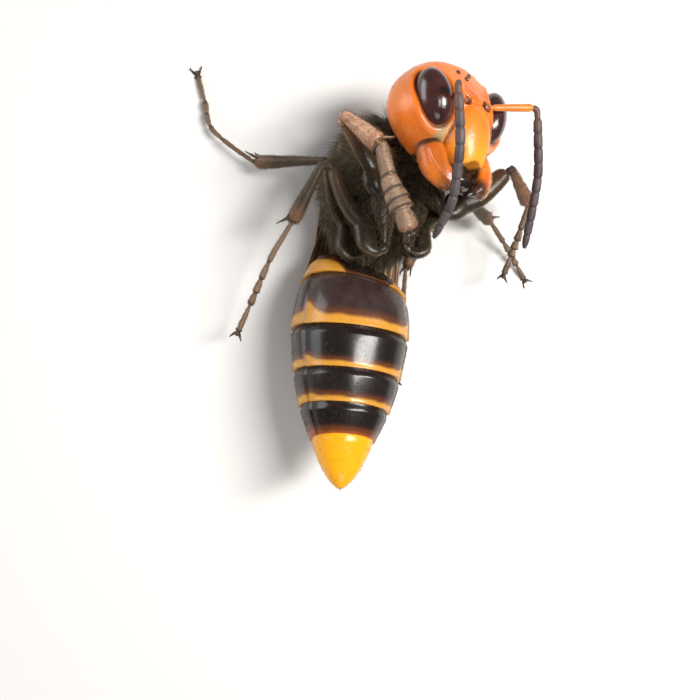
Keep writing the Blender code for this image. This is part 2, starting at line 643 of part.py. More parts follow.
def make_wings(name, side, thorax_clear):
    line = smooth_way(WING_WAYS[name], 121)

    def bed(at):
        behind, here, ahead = respace(line, [max(at - 0.02, 0), at, min(at + 0.02, 1)])
        bank = math.radians(WING_BANK) * min(1.0, max(0.0, (BANKED_SHARE - at) / BANK_EASE))
        way = (ahead - behind).normalized()
        across = Vector((side * math.cos(bank), 0, math.sin(bank)))
        across = (across - way * across.dot(way)).normalized()
        upward = across.cross(way).normalized()
        return here, across, upward if upward.z > 0 else -upward

    def hind_shift(at):
        return HINDWING_SHIFT * min(1.0, max(0.0, (at - 0.1) / 0.4))

    def no_shift(at):
        return 0.0

    sheet = wing_sheet(bed, FOREWING_FORM, (0, 1), no_shift, 0.0, FOREWING_VEINS, 24)
    fore = solid(f"forewing_{name}", sheet, "wing")
    sheet = wing_sheet(bed, HINDWING_FORM, HINDWING_SPAN, hind_shift, HINDWING_LIFT, HINDWING_VEINS, 16)
    hind = solid(f"hindwing_{name}", sheet, "wing")
    room = wing_sheet(bed, FOREWING_FORM, (0, 1), no_shift, 0.0, FOREWING_VEINS, 24, GAP)
    carve(hind, as_guide(solid("forewing_room", room, "wing")), remove=True)
    carve(fore, thorax_clear)
    carve(hind, thorax_clear)


def make_tegula(name, side, thorax_clear, frame):
    """The small scale over each forewing's root."""
    bm = bmesh.new()
    bmesh.ops.create_uvsphere(bm, u_segments=12, v_segments=8, radius=1)
    x, y, z = TEGULA_AT
    bm.transform(Matrix.Translation((side * x, y, z)) @ Matrix.Diagonal((*TEGULA_RADII, 1)))
    tegula = solid(f"tegula_{name}", bm, "brown", frame)
    carve(tegula, thorax_clear)


def build():
    clear_scene()
    turns = ((THORAX_YAW, "Z"), (THORAX_PITCH, "X"), (THORAX_ROLL, "Y"))
    turn = Matrix.Identity(3)
    for angle, axis in turns:
        turn = turn @ Matrix.Rotation(math.radians(angle), 3, axis)
    thorax_frame = body_frame("thorax_frame", THORAX_AT, turn)
    head_turn = Euler([math.radians(a) for a in HEAD_TURN]).to_matrix()
    head_frame = body_frame("head_frame", HEAD_AT, head_turn)
    thorax = Matrix.Translation(Vector(THORAX_AT)) @ turn.to_4x4()
    head = Matrix.Translation(Vector(HEAD_AT)) @ head_turn.to_4x4()

    slab = floor_slab()
    thorax_clear = make_thorax(thorax_frame, slab)
    head_clear = make_head(head_frame)
    carve(bpy.data.objects["pronotum"], head_clear)
    make_neck(thorax, head, thorax_clear, head_clear)
    make_mouthparts(head_frame, head_clear)
    for name, side in SIDES.items():
        make_mandible(name, side, head_frame, head_clear)
        make_antenna(name, side, head, head_clear)
        make_wings(name, side, thorax_clear)
        make_tegula(name, side, thorax_clear, thorax_frame)

    backward = turn @ Vector((0, -1, 0))
    petiole = thorax @ Vector((0, THORAX_FORM[0][0] - GAP, PETIOLE_HEIGHT))
    make_gaster(petiole, backward)
    carve(bpy.data.objects["gaster_1"], thorax_clear)
    for name, plan in LEGS.items():
        make_leg(name, plan, thorax, (thorax_clear, head_clear), slab)
    for guide in (thorax_clear, head_clear, slab):
        bpy.data.objects.remove(guide, do_unlink=True)


build()
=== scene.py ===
import math

import bmesh
import bpy
import numpy as np
from mathutils import Euler, Matrix, Vector


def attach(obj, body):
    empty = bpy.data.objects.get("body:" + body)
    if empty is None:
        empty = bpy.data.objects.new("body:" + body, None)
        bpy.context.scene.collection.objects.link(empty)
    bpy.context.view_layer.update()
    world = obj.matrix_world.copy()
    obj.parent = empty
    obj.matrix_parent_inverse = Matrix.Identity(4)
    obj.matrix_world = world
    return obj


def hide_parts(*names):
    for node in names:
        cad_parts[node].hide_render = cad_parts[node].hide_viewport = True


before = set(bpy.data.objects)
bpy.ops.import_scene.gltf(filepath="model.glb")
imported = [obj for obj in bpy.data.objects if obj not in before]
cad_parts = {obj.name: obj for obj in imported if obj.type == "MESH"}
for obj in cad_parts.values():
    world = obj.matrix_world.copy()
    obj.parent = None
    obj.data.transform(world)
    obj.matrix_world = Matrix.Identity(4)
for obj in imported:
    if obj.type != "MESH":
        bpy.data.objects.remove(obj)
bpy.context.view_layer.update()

# The setting: a plain pale floor at the height the hornet lies on, and soft lamps: one to the right
# that draws the long highlight on the belly, a broad pale one from the upper left and a weak one low
# in front. The camera looks down on the belly.
MM = 0.001
PICTURE_SIDE, FOCAL_PIXELS, SENSOR, CLIP = 700, 817, 36, (0.005, 5)
CAMERA_AIM, CAMERA_DISTANCE = Vector((-2.5, -16.6, 6.5)), 95
CAMERA_LEAN, CAMERA_ROLL = math.radians(15), math.asin(0.046)


def camera_turn():
    back = Vector((-math.sin(CAMERA_LEAN), 0, math.cos(CAMERA_LEAN)))
    up = (Vector((0, 1, 0)) - back * back.y).normalized()
    right = up.cross(back)
    rolled_right = right * math.cos(CAMERA_ROLL) + up * math.sin(CAMERA_ROLL)
    rolled_up = up * math.cos(CAMERA_ROLL) - right * math.sin(CAMERA_ROLL)
    return Matrix((rolled_right, rolled_up, back)).transposed()


VIEW = camera_turn()
lens = bpy.data.cameras.new("camera")
lens.sensor_width = SENSOR
lens.lens = FOCAL_PIXELS * SENSOR / PICTURE_SIDE
lens.clip_start, lens.clip_end = CLIP
camera = bpy.data.objects.new("camera", lens)
camera.matrix_world = (Matrix.Translation((CAMERA_AIM + VIEW.col[2] * CAMERA_DISTANCE) * MM)
                       @ VIEW.to_4x4())
bpy.context.scene.collection.objects.link(camera)
bpy.context.scene.camera = camera


def seen_from(right, up, near):
    """A direction in the floor frame from one given as the camera sees it."""
    return (VIEW @ Vector((right, up, near))).normalized()


def soft_lamp(name, direction, distance, width, height, power, tint):
    lamp = bpy.data.lights.new(name, "AREA")
    lamp.shape, lamp.size, lamp.size_y = "RECTANGLE", width * MM, height * MM
    lamp.energy, lamp.color = power, tint
    made = bpy.data.objects.new(name, lamp)
    made.location = (CAMERA_AIM + direction * distance) * MM
    made.rotation_euler = direction.to_track_quat("Z", "Y").to_euler()
    bpy.context.scene.collection.objects.link(made)


# direction, distance, width, height, power, tint
soft_lamp("window_right", seen_from(0.62, 0.12, 0.78), 190, 42, 120, 0.5, (1.0, 0.98, 0.95))
soft_lamp("sky_left", seen_from(-0.85, 0.42, 0.3), 220, 170, 170, 0.42, (0.93, 0.96, 1.0))
soft_lamp("low_front", seen_from(0.1, -0.75, 0.66), 260, 160, 120, 0.16, (1.0, 0.96, 0.92))

ROOM_TINT, ROOM_GLOW = (0.86, 0.87, 0.88, 1), 0.26
world = bpy.data.worlds.new("pale_room")
world.use_nodes = True
world.node_tree.nodes["Background"].inputs["Color"].default_value = ROOM_TINT
world.node_tree.nodes["Background"].inputs["Strength"].default_value = ROOM_GLOW
bpy.context.scene.world = world
bpy.context.scene.view_settings.view_transform = "Standard"


def plain_finish(name, colour, roughness):
    """A material with one shader, and the handles to add to it."""
    made = bpy.data.materials.new(name)
    made.use_nodes = True
    shader = made.node_tree.nodes["Principled BSDF"]
    shader.inputs["Base Color"].default_value = (*colour, 1)
    shader.inputs["Roughness"].default_value = roughness
    return made, made.node_tree, shader


FLOOR_SPAN = 1.6
bm = bmesh.new()
bmesh.ops.create_grid(bm, x_segments=1, y_segments=1, size=FLOOR_SPAN / 2)
floor_mesh = bpy.data.meshes.new("floor")
bm.to_mesh(floor_mesh)
bm.free()
floor_mesh.materials.append(plain_finish("pale_floor", (0.74, 0.73, 0.715), 0.8)[0])
floor = bpy.data.objects.new("floor", floor_mesh)
bpy.context.scene.collection.objects.link(floor)

# The thorax: a hard box of grown-together plates that holds the legs' and wings' muscles, dark
# brown, with sunken seams between its plates. It is one skin here, from the neck to the waist.
THORAX_AT = (0.4, 1.6, 5.95)
THORAX_PITCH, THORAX_ROLL, THORAX_YAW = 20, 12, -14
# y from waist to neck, half width, depth of back, depth of belly
THORAX_FORM = (
    (-8.3, 1.5, 0.4, 3.0), (-7.7, 2.4, 1.4, 3.6), (-6.4, 3.6, 3.3, 4.3), (-4.6, 4.8, 4.8, 5.0),
    (-2.2, 5.6, 5.6, 5.4), (0.8, 6.0, 5.85, 5.6), (3.4, 5.7, 5.6, 5.2), (5.6, 5.0, 4.9, 4.4),
    (7.0, 3.9, 3.7, 3.2), (7.9, 2.4, 2.2, 2.0),
)
THORAX_BACK, THORAX_FRONT = THORAX_FORM[0][0], THORAX_FORM[-1][0]
SEWN_WITHIN = 1e-4
THORAX_TURN = (Matrix.Rotation(math.radians(THORAX_YAW), 3, "Z")
               @ Matrix.Rotation(math.radians(THORAX_PITCH), 3, "X")
               @ Matrix.Rotation(math.radians(THORAX_ROLL), 3, "Y"))
THORAX = Matrix.Translation(Vector(THORAX_AT)) @ THORAX_TURN.to_4x4()


def form_at(stations, at):
    """Values of a form between its stations, on a smooth curve through them."""
    last = len(stations) - 1
    i = max(0, min(last - 1, sum(row[0] <= at for row in stations) - 1))
    a, b = stations[i], stations[i + 1]
    before, after = stations[max(i - 1, 0)], stations[min(i + 2, last)]
    span = b[0] - a[0]
    t = min(1.0, max(0.0, (at - a[0]) / span))
    values = []
    for k in range(1, len(a)):
        leave = (b[k] - before[k]) / (b[0] - before[0]) * span
        reach = (after[k] - a[k]) / (after[0] - a[0]) * span
        rise = b[k] - a[k]
        values.append(a[k] + leave * t + (3 * rise - 2 * leave - reach) * t**2
                      + (leave + reach - 2 * rise) * t**3)
    return values


def oval(half_width, over, under, around, power=2.0):
    """Place on a rounded outline: around runs from 0 to 1, over along up and under against it."""
    angle = 2 * math.pi * around
    c, s = math.cos(angle), math.sin(angle)
    x = math.copysign(abs(c) ** (2 / power), c) * half_width
    return x, math.copysign(abs(s) ** (2 / power), s) * (over if s > 0 else under)


def step_up(value, start, end):
    """0 before start, 1 past end, and a soft step between."""
    t = min(1.0, max(0.0, (value - start) / (end - start)))
    return t * t * (3 - 2 * t)


def hump(value, centre, width):
    return math.exp(-((value - centre) / width) ** 2)


def wrapped(rows, sides, surface):
    """A skin laid on surface(along, around), both 0 to 1, and sewn where it comes round."""
    bm = bmesh.new()
    along_layer = bm.verts.layers.float.new("along")
    around_layer = bm.verts.layers.float.new("around")
    bmesh.ops.create_grid(bm, x_segments=rows, y_segments=sides, size=0.5)
    for vert in bm.verts:
        along, around = vert.co.x + 0.5, vert.co.y + 0.5
        vert[along_layer], vert[around_layer] = along, around
        vert.co = surface(along, around)
    bmesh.ops.remove_doubles(bm, verts=bm.verts, dist=SEWN_WITHIN)
    rims = [edge for edge in bm.edges if edge.is_boundary]
    if rims:
        bmesh.ops.holes_fill(bm, edges=rims, sides=0)
    bmesh.ops.recalc_face_normals(bm, faces=bm.faces)
    bm.normal_update()
    return bm


def raised(bm, relief):
    """Push each point along its normal by relief(point), in millimetres."""
    heights = [relief(vert.co) for vert in bm.verts]
    normals = [vert.normal.copy() for vert in bm.verts]
    for vert, height, normal in zip(bm.verts, heights, normals):
        vert.co += normal * height
    bm.normal_update()


def marked(bm, name, rule):
    """Keep a share from 0 to 1 at each point, for the material to colour by."""
    layer = bm.verts.layers.float.new(name)
    for vert in bm.verts:
        vert[layer] = rule(vert.co)


def lifted(bm, level=0.0):
    """Flatten what would reach below the floor, or below a level over it."""
    for vert in bm.verts:
        vert.co.z = max(vert.co.z, level)


def riding(name, mesh, finish, slot, nodes=()):
    """A smooth piece of the hornet, from a mesh in metres."""
    mesh.materials.append(finish)
    mesh.shade_smooth()
    made = bpy.data.objects.new(name, mesh)
    bpy.context.scene.collection.objects.link(made)
    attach(made, "root")
    if nodes:
        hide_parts(*nodes)


def made_piece(name, bm, finish, slot, nodes=(), place=None):
    """A finished piece in its place, from a mesh in millimetres."""
    if place is not None:
        bm.transform(place)
    bm.transform(Matrix.Scale(MM, 4))
    mesh = bpy.data.meshes.new(name)
    bm.to_mesh(mesh)
    bm.free()
    riding(name, mesh, finish, slot, nodes)


def node_in(tree, kind, sockets=(), **settings):
    """A new shader node with its settings and the values of its sockets."""
    made = tree.nodes.new("ShaderNode" + kind)
    for name, value in settings.items():
        setattr(made, name, value)
    for socket, value in dict(sockets).items():
        made.inputs[socket].default_value = value
    return made


def wired(tree, *wires):
    """Link the output of one node to the input of another, for each wire."""
    for source, output, goal, entry in wires:
        tree.links.new(source.outputs[output], goal.inputs[entry])


def shell_grain():
    """The fine surface that every hard plate shares: dimples, faint ripples and slow mottling."""
    group = bpy.data.node_groups.new("shell_grain", "ShaderNodeTree")
    sockets = {"Dimples": "INPUT", "Mottling": "INPUT", "Height": "OUTPUT", "Mottle": "OUTPUT"}
    for name, way in sockets.items():
        group.interface.new_socket(name, in_out=way, socket_type="NodeSocketFloat")
    given, put = group.nodes.new("NodeGroupInput"), group.nodes.new("NodeGroupOutput")
    place = node_in(group, "TexCoord")
    cells = node_in(group, "TexVoronoi", feature="SMOOTH_F1")
    ripple = node_in(group, "TexNoise", {"Detail": 6})
    mottle = node_in(group, "TexNoise", {"Detail": 4})
    ripple_scale = node_in(group, "Math", {1: 0.35}, operation="MULTIPLY")
    both = node_in(group, "Math", {1: 0.6}, operation="MULTIPLY_ADD")
    wired(group, *((place, "Object", texture, "Vector") for texture in (cells, ripple, mottle)),
          (given, "Dimples", cells, "Scale"), (given, "Dimples", ripple_scale, 0),
          (ripple_scale, 0, ripple, "Scale"), (given, "Mottling", mottle, "Scale"),
          (cells, "Distance", both, 0), (ripple, "Fac", both, 2),
          (both, 0, put, "Height"), (mottle, "Fac", put, "Mottle"))
    return group


SHELL_GRAIN = shell_grain()
DENT_DEPTH, COAT_ROUGHNESS, GLOW_REACH = 0.00012, 0.12, (0.0009, 0.00035, 0.00012)
MOTTLE_LOW, MOTTLE_HIGH, SMOOTHEST, ROUGHEST = 0.35, 0.7, 0.8, 1.35


def shell_finish(name, base, deep, marks=(), roughness=0.3, bump=0.12, dimples=4500, mottling=450,
                 coat=0.0, glow=0.0, shine=0.5):
    """A plate's finish: its base colour mottled towards a deeper one, then painted by its marks."""
    made, tree, shader = plain_finish(name, base, roughness)
    grain = node_in(tree, "Group", {"Dimples": dimples, "Mottling": mottling}, node_tree=SHELL_GRAIN)
    spread = node_in(tree, "MapRange", {"From Min": MOTTLE_LOW, "From Max": MOTTLE_HIGH})
    colour = node_in(tree, "Mix", {"A": (*base, 1), "B": (*deep, 1)}, data_type="RGBA")
    rough = node_in(tree, "MapRange",
                    {"To Min": roughness * SMOOTHEST, "To Max": roughness * ROUGHEST})
    dents = node_in(tree, "Bump", {"Strength": bump, "Distance": DENT_DEPTH})
    wired(tree, (grain, "Mottle", spread, "Value"), (spread, "Result", colour, "Factor"),
          (grain, "Mottle", rough, "Value"), (rough, "Result", shader, "Roughness"),
          (grain, "Height", dents, "Height"), (dents, "Normal", shader, "Normal"))
    for mark, tint in marks:
        read = node_in(tree, "Attribute", attribute_name=mark)
        paint = node_in(tree, "Mix", {"B": (*tint, 1)}, data_type="RGBA")
        wired(tree, (read, "Fac", paint, "Factor"), (colour, "Result", paint, "A"))
        colour = paint
    wired(tree, (colour, "Result", shader, "Base Color"))
    values = {"Specular IOR Level": shine, "Coat Weight": coat, "Coat Roughness": COAT_ROUGHNESS}
    if glow:
        values |= {"Subsurface Weight": glow, "Subsurface Radius": GLOW_REACH, "Subsurface Scale": 1.0}
    for socket, value in values.items():
        shader.inputs[socket].default_value = value
    return made


def thorax_skin(along, around):
    y = THORAX_BACK + (THORAX_FRONT - THORAX_BACK) * along
    width, back, belly = form_at(THORAX_FORM, y)
    x, z = oval(width, belly, back, around, 2.15)
    return Vector((x, y, z))


def seam(distance, depth, width):
    """A sunken line, from the distance to it."""
    return -depth * hump(distance, 0, width)


def thorax_relief(p):
    """Seams behind the collar and round the waist's plate, then those of the back or the belly, and
    one along each flank."""
    side = abs(p.x)
    collar = p.y - (4.3 - 0.55 * max(0.0, -p.z) + 0.04 * side * side)
    height = seam(collar, 0.22, 0.16)
    height += seam(p.y + 2.9 + 0.25 * p.z, 0.2, 0.16)
    height += seam(p.y + 4.5 - 0.12 * p.z, 0.18, 0.15)
    if p.z < 0:
        back_hump = 0.25 * hump(p.y, -2.3, 0.7) * hump(side, 1.4, 1.3)
        height += seam(p.y + 1.2, 0.16, 0.13) + back_hump
    else:
        height += seam(side, 0.25, 0.2) * step_up(p.z, 2.0, 3.5)
        coxa_edge = seam(side - (2.2 + 0.25 * p.y), 0.16, 0.16)
        height += coxa_edge * step_up(p.z, 0.5, 1.8) * step_up(4.0 - p.y, 0, 1)
    flank = seam(p.z + 1.1 - 0.1 * p.y, 0.14, 0.14)
    height += flank * step_up(side, 3.0, 4.0) * step_up(p.y, -2.5, -1.5)
    return height


bm = wrapped(rows=90, sides=110, surface=thorax_skin)
raised(bm, thorax_relief)
marked(bm, "warm", lambda p: 0.8 * step_up(p.y, 3.6, 5.2) * step_up(-p.z, -1.0, 1.5))
for vert in bm.verts:
    vert.co = THORAX @ vert.co
lifted(bm)
THORAX_FINISH = shell_finish("thorax_shell", (0.022, 0.014, 0.009), (0.010, 0.007, 0.005),
                             (("warm", (0.10, 0.03, 0.010)),), roughness=0.45, bump=0.35, dimples=6500,
                             shine=0.25)
made_piece("thorax", bm, THORAX_FINISH, "thorax_shell", ("pronotum", "mesothorax", "propodeum"))

# The neck: a short stalk of soft dark skin with fine folds. It joins the thorax's front to the back
# of the head and lets the head turn.
HEAD_AT, HEAD_TURN, HEAD_MIDDLE = (5.35, 9.35, 15.0), (89, 23, -3), -1.2
HEAD = (Matrix.Translation(Vector(HEAD_AT))
        @ Euler([math.radians(angle) for angle in HEAD_TURN]).to_matrix().to_4x4())
NECK_GIRTH, NECK_FOLD, NECK_FOLDS = ((0, 1.5), (1, 1.4)), 0.1, 40
LIMB_STEPS = 60


def respaced(line, shares):
    """Points of a line at shares of its length."""
    run = [0.0]
    for a, b in zip(line, line[1:]):
        run.append(run[-1] + (b - a).length)
    found = []
    for share in shares:
        goal, i = share * run[-1], 1
        while i < len(run) - 1 and run[i] < goal:
            i += 1
        part = (goal - run[i - 1]) / max(run[i] - run[i - 1], 1e-9)
        found.append(line[i - 1].lerp(line[i], part))
    return found


def turning_frames(way, across):
    """Point, across and upward at each point of a way, without twist."""
    frames = []
    for i, point in enumerate(way):
        ahead = (way[min(i + 1, len(way) - 1)] - way[max(i - 1, 0)]).normalized()
        across = (across - ahead * across.dot(ahead)).normalized()
        frames.append((point, across, across.cross(ahead)))
    return frames


def frame_at(frames, along):
    """Point, across and upward at a share of a way's length."""
    at = min(1.0, max(0.0, along)) * (len(frames) - 1)
    low = min(int(at), len(frames) - 2)
    point, side, upward = [a.lerp(b, at - low) for a, b in zip(frames[low], frames[low + 1])]
    return point, side.normalized(), upward.normalized()


def limb(way, girth, across, rows, sides, detail=None, power=2.0):
    """A skin round a way. Girth: share of the length, half thickness in its plane and, where it
    differs, across it. Detail(along, around) widens it at a place, as a share of its thickness."""
    frames = turning_frames(respaced(way, [i / LIMB_STEPS for i in range(LIMB_STEPS + 1)]), across)

    def surface(along, around):
        point, side, upward = frame_at(frames, along)
        values = form_at(girth, along)
        widen = 1 + (detail(along, around) if detail else 0)
        in_plane = values[0] * widen
        x, z = oval(values[-1] * widen, in_plane, in_plane, around, power)
        return point + side * x + upward * z

    return wrapped(rows, sides, surface)


def neck_folds(along, around):
    return NECK_FOLD * math.sin(along * NECK_FOLDS)


start = THORAX @ Vector((0, THORAX_FRONT - 1.2, 0.3))
end = HEAD @ Vector((0, HEAD_MIDDLE - 3.0, 0.8))
way = [start.lerp(end, i / 6) for i in range(7)]
bm = limb(way, NECK_GIRTH, Vector((1, 0, 0)), rows=30, sides=24, detail=neck_folds)
NECK_FINISH = shell_finish("neck_skin", (0.045, 0.028, 0.018), (0.02, 0.012, 0.01), roughness=0.6)
made_piece("neck_stalk", bm, NECK_FINISH, "thorax_shell", ("neck",))

# The head capsule: one smooth orange shell, widest behind the eyes, with two sockets for the
# feelers, hollows for the eyes, and a seam round the shield that covers the mouth.
EYE_AT, EYE_RADII, EYE_FACING, EYE_LEAN = (4.4, 1.9, -0.5), (1.65, 1.9, 3.05), 52, -16
SOCKET_AT, SOCKET_WIDTH = (1.5, 3.6, -0.6), 0.62
# z from crown to chin, half width, depth of face and of back from the middle
HEAD_FORM = (
    (-5.6, 1.5, 1.0, 0.8), (-5.2, 3.1, 1.8, 1.9), (-4.1, 4.9, 2.7, 3.2), (-2.4, 6.4, 4.0, 4.0),
    (-0.2, 7.2, 5.0, 3.9), (1.7, 6.9, 5.0, 3.3), (3.3, 5.8, 4.4, 2.4), (4.6, 4.5, 3.1, 1.5),
    (5.4, 3.4, 1.8, 1.0),
)
# z, half width and depth of the face shield
SHIELD_FORM = ((-0.5, 1.3, 3.6), (0.4, 2.3, 4.35), (2.4, 2.9, 4.75), (4.3, 2.6, 4.7), (5.7, 1.9, 4.5),
               (6.2, 1.3, 4.2))
CROWN, CHIN, HEAD_POWER = HEAD_FORM[0][0], HEAD_FORM[-1][0], 2.3
# shares of the length in which the shell closes
CROWN_TURN, CHIN_TURN = 0.03, 0.02


def head_surface(along, around):
    z = CROWN + (CHIN - CROWN) * (1 - math.cos(math.pi * along)) / 2
    width, face, back = form_at(HEAD_FORM, z)
    pole = math.sqrt(min(1.0, along / CROWN_TURN)) * math.sqrt(min(1.0, (1 - along) / CHIN_TURN))
    x, y = oval(width * pole, face * pole, back * pole, around, HEAD_POWER)
    return Vector((x, HEAD_MIDDLE + y, z))


EYE_PLACE = (Matrix.Translation(Vector(EYE_AT)) @ Matrix.Rotation(math.radians(EYE_FACING), 4, "Z")
             @ Matrix.Rotation(math.radians(EYE_LEAN), 4, "X"))
EYE_INVERSE = EYE_PLACE.inverted()


def eye_reach(p):
    """How far a point is from the eye's middle, 1 on its surface, for either side."""
    q = EYE_INVERSE @ Vector((abs(p.x), p.y, p.z))
    return math.sqrt(sum((q[i] / EYE_RADII[i]) ** 2 for i in range(3)))


def shield_edge(p):
    """Signed distance inside the face shield's outline."""
    low, high = SHIELD_FORM[0][0], SHIELD_FORM[-1][0]
    if p.y < 1.0 or p.z < low:
        return -1.0
    return min(form_at(SHIELD_FORM, min(p.z, high))[0] - abs(p.x), (p.z - low) * 0.8)


def socket_reach(p):
    return math.dist((abs(p.x), p.z), (SOCKET_AT[0], SOCKET_AT[2])) / SOCKET_WIDTH if p.y > 1 else 9.0


def head_relief(p):
    """A rim and a hollow for each eye and socket, the shield's seam, and on the face a bump between
    the feelers, a furrow above them and a dent in each cheek."""
    side, reach, socket = abs(p.x), eye_reach(p), socket_reach(p)
    height = 0.16 * hump(reach, 1.32, 0.14) - 0.5 * step_up(1.22 - reach, 0.0, 0.2)
    height += seam(shield_edge(p), 0.14, 0.14)
    height += 0.2 * hump(socket, 1.15, 0.3) - 0.55 * step_up(1.0 - socket, 0.0, 0.5)
    if p.y > 1:
        height += 0.34 * hump(side, 0.0, 0.75) * hump(p.z, -1.0, 1.0)
        height += seam(side, 0.1, 0.12) * step_up(-p.z, 1.8, 2.6) * step_up(p.z, -4.0, -3.4)
        height -= 0.3 * hump(side, 3.5, 0.6) * hump(p.z, 3.5, 1.1)
    return height


bm = wrapped(rows=150, sides=200, surface=head_surface)
raised(bm, head_relief)


def dark_mark(p):
    """Dark seams: round the sockets, along the shield's edge, at the jaws' roots and the eye's rim."""
    rim = 0.8 * step_up(shield_edge(p), -0.12, 0.05) * step_up(p.z, 0.2, 2.5)
    socket = step_up(1.15 - socket_reach(p), 0.0, 0.3)
    jaw = step_up(p.z + 0.55 * max(0.0, p.y), 4.75, 5.15) * step_up(abs(p.x), 2.8, 3.3)
    orbit = 0.75 * step_up(1.2 - eye_reach(p), 0.0, 0.12)
    return min(1.0, max(rim, socket, jaw, orbit))


def red_mark(p):
    """Redder between the feelers and above them."""
    return 0.6 * step_up(p.y, 1.0, 3.0) * hump(p.x, 0, 1.9) * hump(p.z, -1.7, 1.6)


def cheek_highlight(p):
    """A painted highlight on the cheek, between the eye and the jaw."""
    return 0.95 * hump(abs(p.x), 3.5, 0.65) * hump(p.z, 3.3, 1.1) * step_up(p.y, 0.9, 1.7)


marked(bm, "red", red_mark)
# the "pale" mark is a painted highlight on the cheek
marked(bm, "pale", cheek_highlight)
marked(bm, "dark", dark_mark)
HEAD_FINISH = shell_finish(
    "head_shell", (0.80, 0.195, 0.014), (0.68, 0.135, 0.008),
    (("red", (0.55, 0.08, 0.008)), ("pale", (0.50, 0.42, 0.22)), ("dark", (0.045, 0.014, 0.008))),
    roughness=0.33, bump=0.16, dimples=3800, mottling=300, coat=0.15, glow=0.15)
made_piece("head_capsule", bm, HEAD_FINISH, "head_shell", ("head",), HEAD)

# The face shield: a stout domed plate over the mouth, orange above and yellow below, whose free
# lower edge is rimmed with black and ends in two blunt points.
SHIELD_TOP, SHIELD_FOOT, SHIELD_ROOT = -0.5, 6.2, 1.5
SHIELD_BACK, SHIELD_TOP_TURN, SHIELD_FOOT_TURN = 0.6, 0.04, 0.05


def shield_surface(along, around):
    z = SHIELD_TOP + (SHIELD_FOOT - SHIELD_TOP) * along
    width, face = form_at(SHIELD_FORM, z)
    shut = (math.sqrt(min(1.0, along / SHIELD_TOP_TURN))
            * math.sqrt(min(1.0, (1 - along) / SHIELD_FOOT_TURN)))
    x, y = oval(width * (0.6 + 0.4 * shut), (face - SHIELD_ROOT) * shut, SHIELD_BACK * shut, around, 2.5)
    point = 0.45 * hump(abs(x), 1.5, 0.6) - 0.3 * hump(x, 0.0, 0.7)
    return Vector((x, SHIELD_ROOT + y, z + point * step_up(along, 0.8, 1.0)))


bm = wrapped(rows=90, sides=110, surface=shield_surface)
marked(bm, "low", lambda p: step_up(p.z + 0.3 * math.sin(p.x * 2.3), 2.6, 5.4))
marked(bm, "dark", lambda p: 0.95 * step_up(p.z, 5.95, 6.25) + 0.6 * step_up(abs(p.x), 2.45, 2.9)
       * step_up(p.z, 1.0, 3.0))
SHIELD_FINISH = shell_finish(
    "face_shield", (0.82, 0.22, 0.012), (0.74, 0.17, 0.010),
    (("low", (0.80, 0.30, 0.010)), ("dark", (0.035, 0.012, 0.008))),
    roughness=0.36, bump=0.32, dimples=2600, mottling=420, coat=0.1, glow=0.12)
made_piece("face_shield", bm, SHIELD_FINISH, "head_shell", (), HEAD)

# The small eyes: three dark glassy beads in a triangle on the crown, each set half deep in the
# head's shell.
OCELLI, OCELLUS_RADIUS = ((0.0, -3.55), (0.8, -4.2), (-0.8, -4.2)), 0.27
OCELLUS_FINISH = shell_finish("small_eye", (0.10, 0.035, 0.015), (0.05, 0.02, 0.01), roughness=0.08,
                              bump=0.0, coat=0.6)
bm = bmesh.new()
for x, z in OCELLI:
    width, face, _ = form_at(HEAD_FORM, z)
    y = HEAD_MIDDLE + face * (1 - (abs(x) / width) ** HEAD_POWER) ** (1 / HEAD_POWER)
    bmesh.ops.create_uvsphere(bm, u_segments=20, v_segments=12, radius=OCELLUS_RADIUS,
                              matrix=Matrix.Translation((x, y, z)))
made_piece("small_eyes", bm, OCELLUS_FINISH, "eye", (), HEAD)

# The compound eyes: long bean-shaped domes of thousands of facets, dark red-brown and glossy,
# sunk in the head with a notch in the edge that faces the feelers.
SIDES = {"left": 1, "right": -1}
NOTCH_AT, NOTCH_DEPTH, NOTCH_REACH = -0.55, 0.45, 0.6
EYE_FINISH = shell_finish("compound_eye", (0.050, 0.013, 0.010), (0.022, 0.006, 0.006), roughness=0.16,
                          bump=0.12, dimples=19000, mottling=250, coat=0.5)
for name, side in SIDES.items():
    bm = bmesh.new()
    bmesh.ops.create_uvsphere(bm, u_segments=72, v_segments=48, radius=1)
    for vert in bm.verts:
        p = vert.co.copy()
        notch = NOTCH_DEPTH * hump(p.z * EYE_RADII[2], NOTCH_AT, NOTCH_REACH) * step_up(-p.x, 0.35, 0.95)
        bean = Vector((p.x * (1 - notch), p.y * (1 - 0.3 * notch), p.z))
        vert.co = Vector(bean[i] * EYE_RADII[i] for i in range(3))
    bm.transform(Matrix.Scale(side, 4, Vector((1, 0, 0))) @ EYE_PLACE)
    if side < 0:
        bmesh.ops.reverse_faces(bm, faces=bm.faces)
    made_piece(f"compound_eye_{name}", bm, EYE_FINISH, "eye", (f"eye_{name}",), HEAD)

# The feelers: a long orange first piece from the socket, a small knuckle, and ten short dark
# drums, each a little waisted, that bend down past the jaws.
CURVE_STEPS, DRUMS, WAIST_DEPTH, DRUM_FLARE = 12, 10, 0.16, 0.04
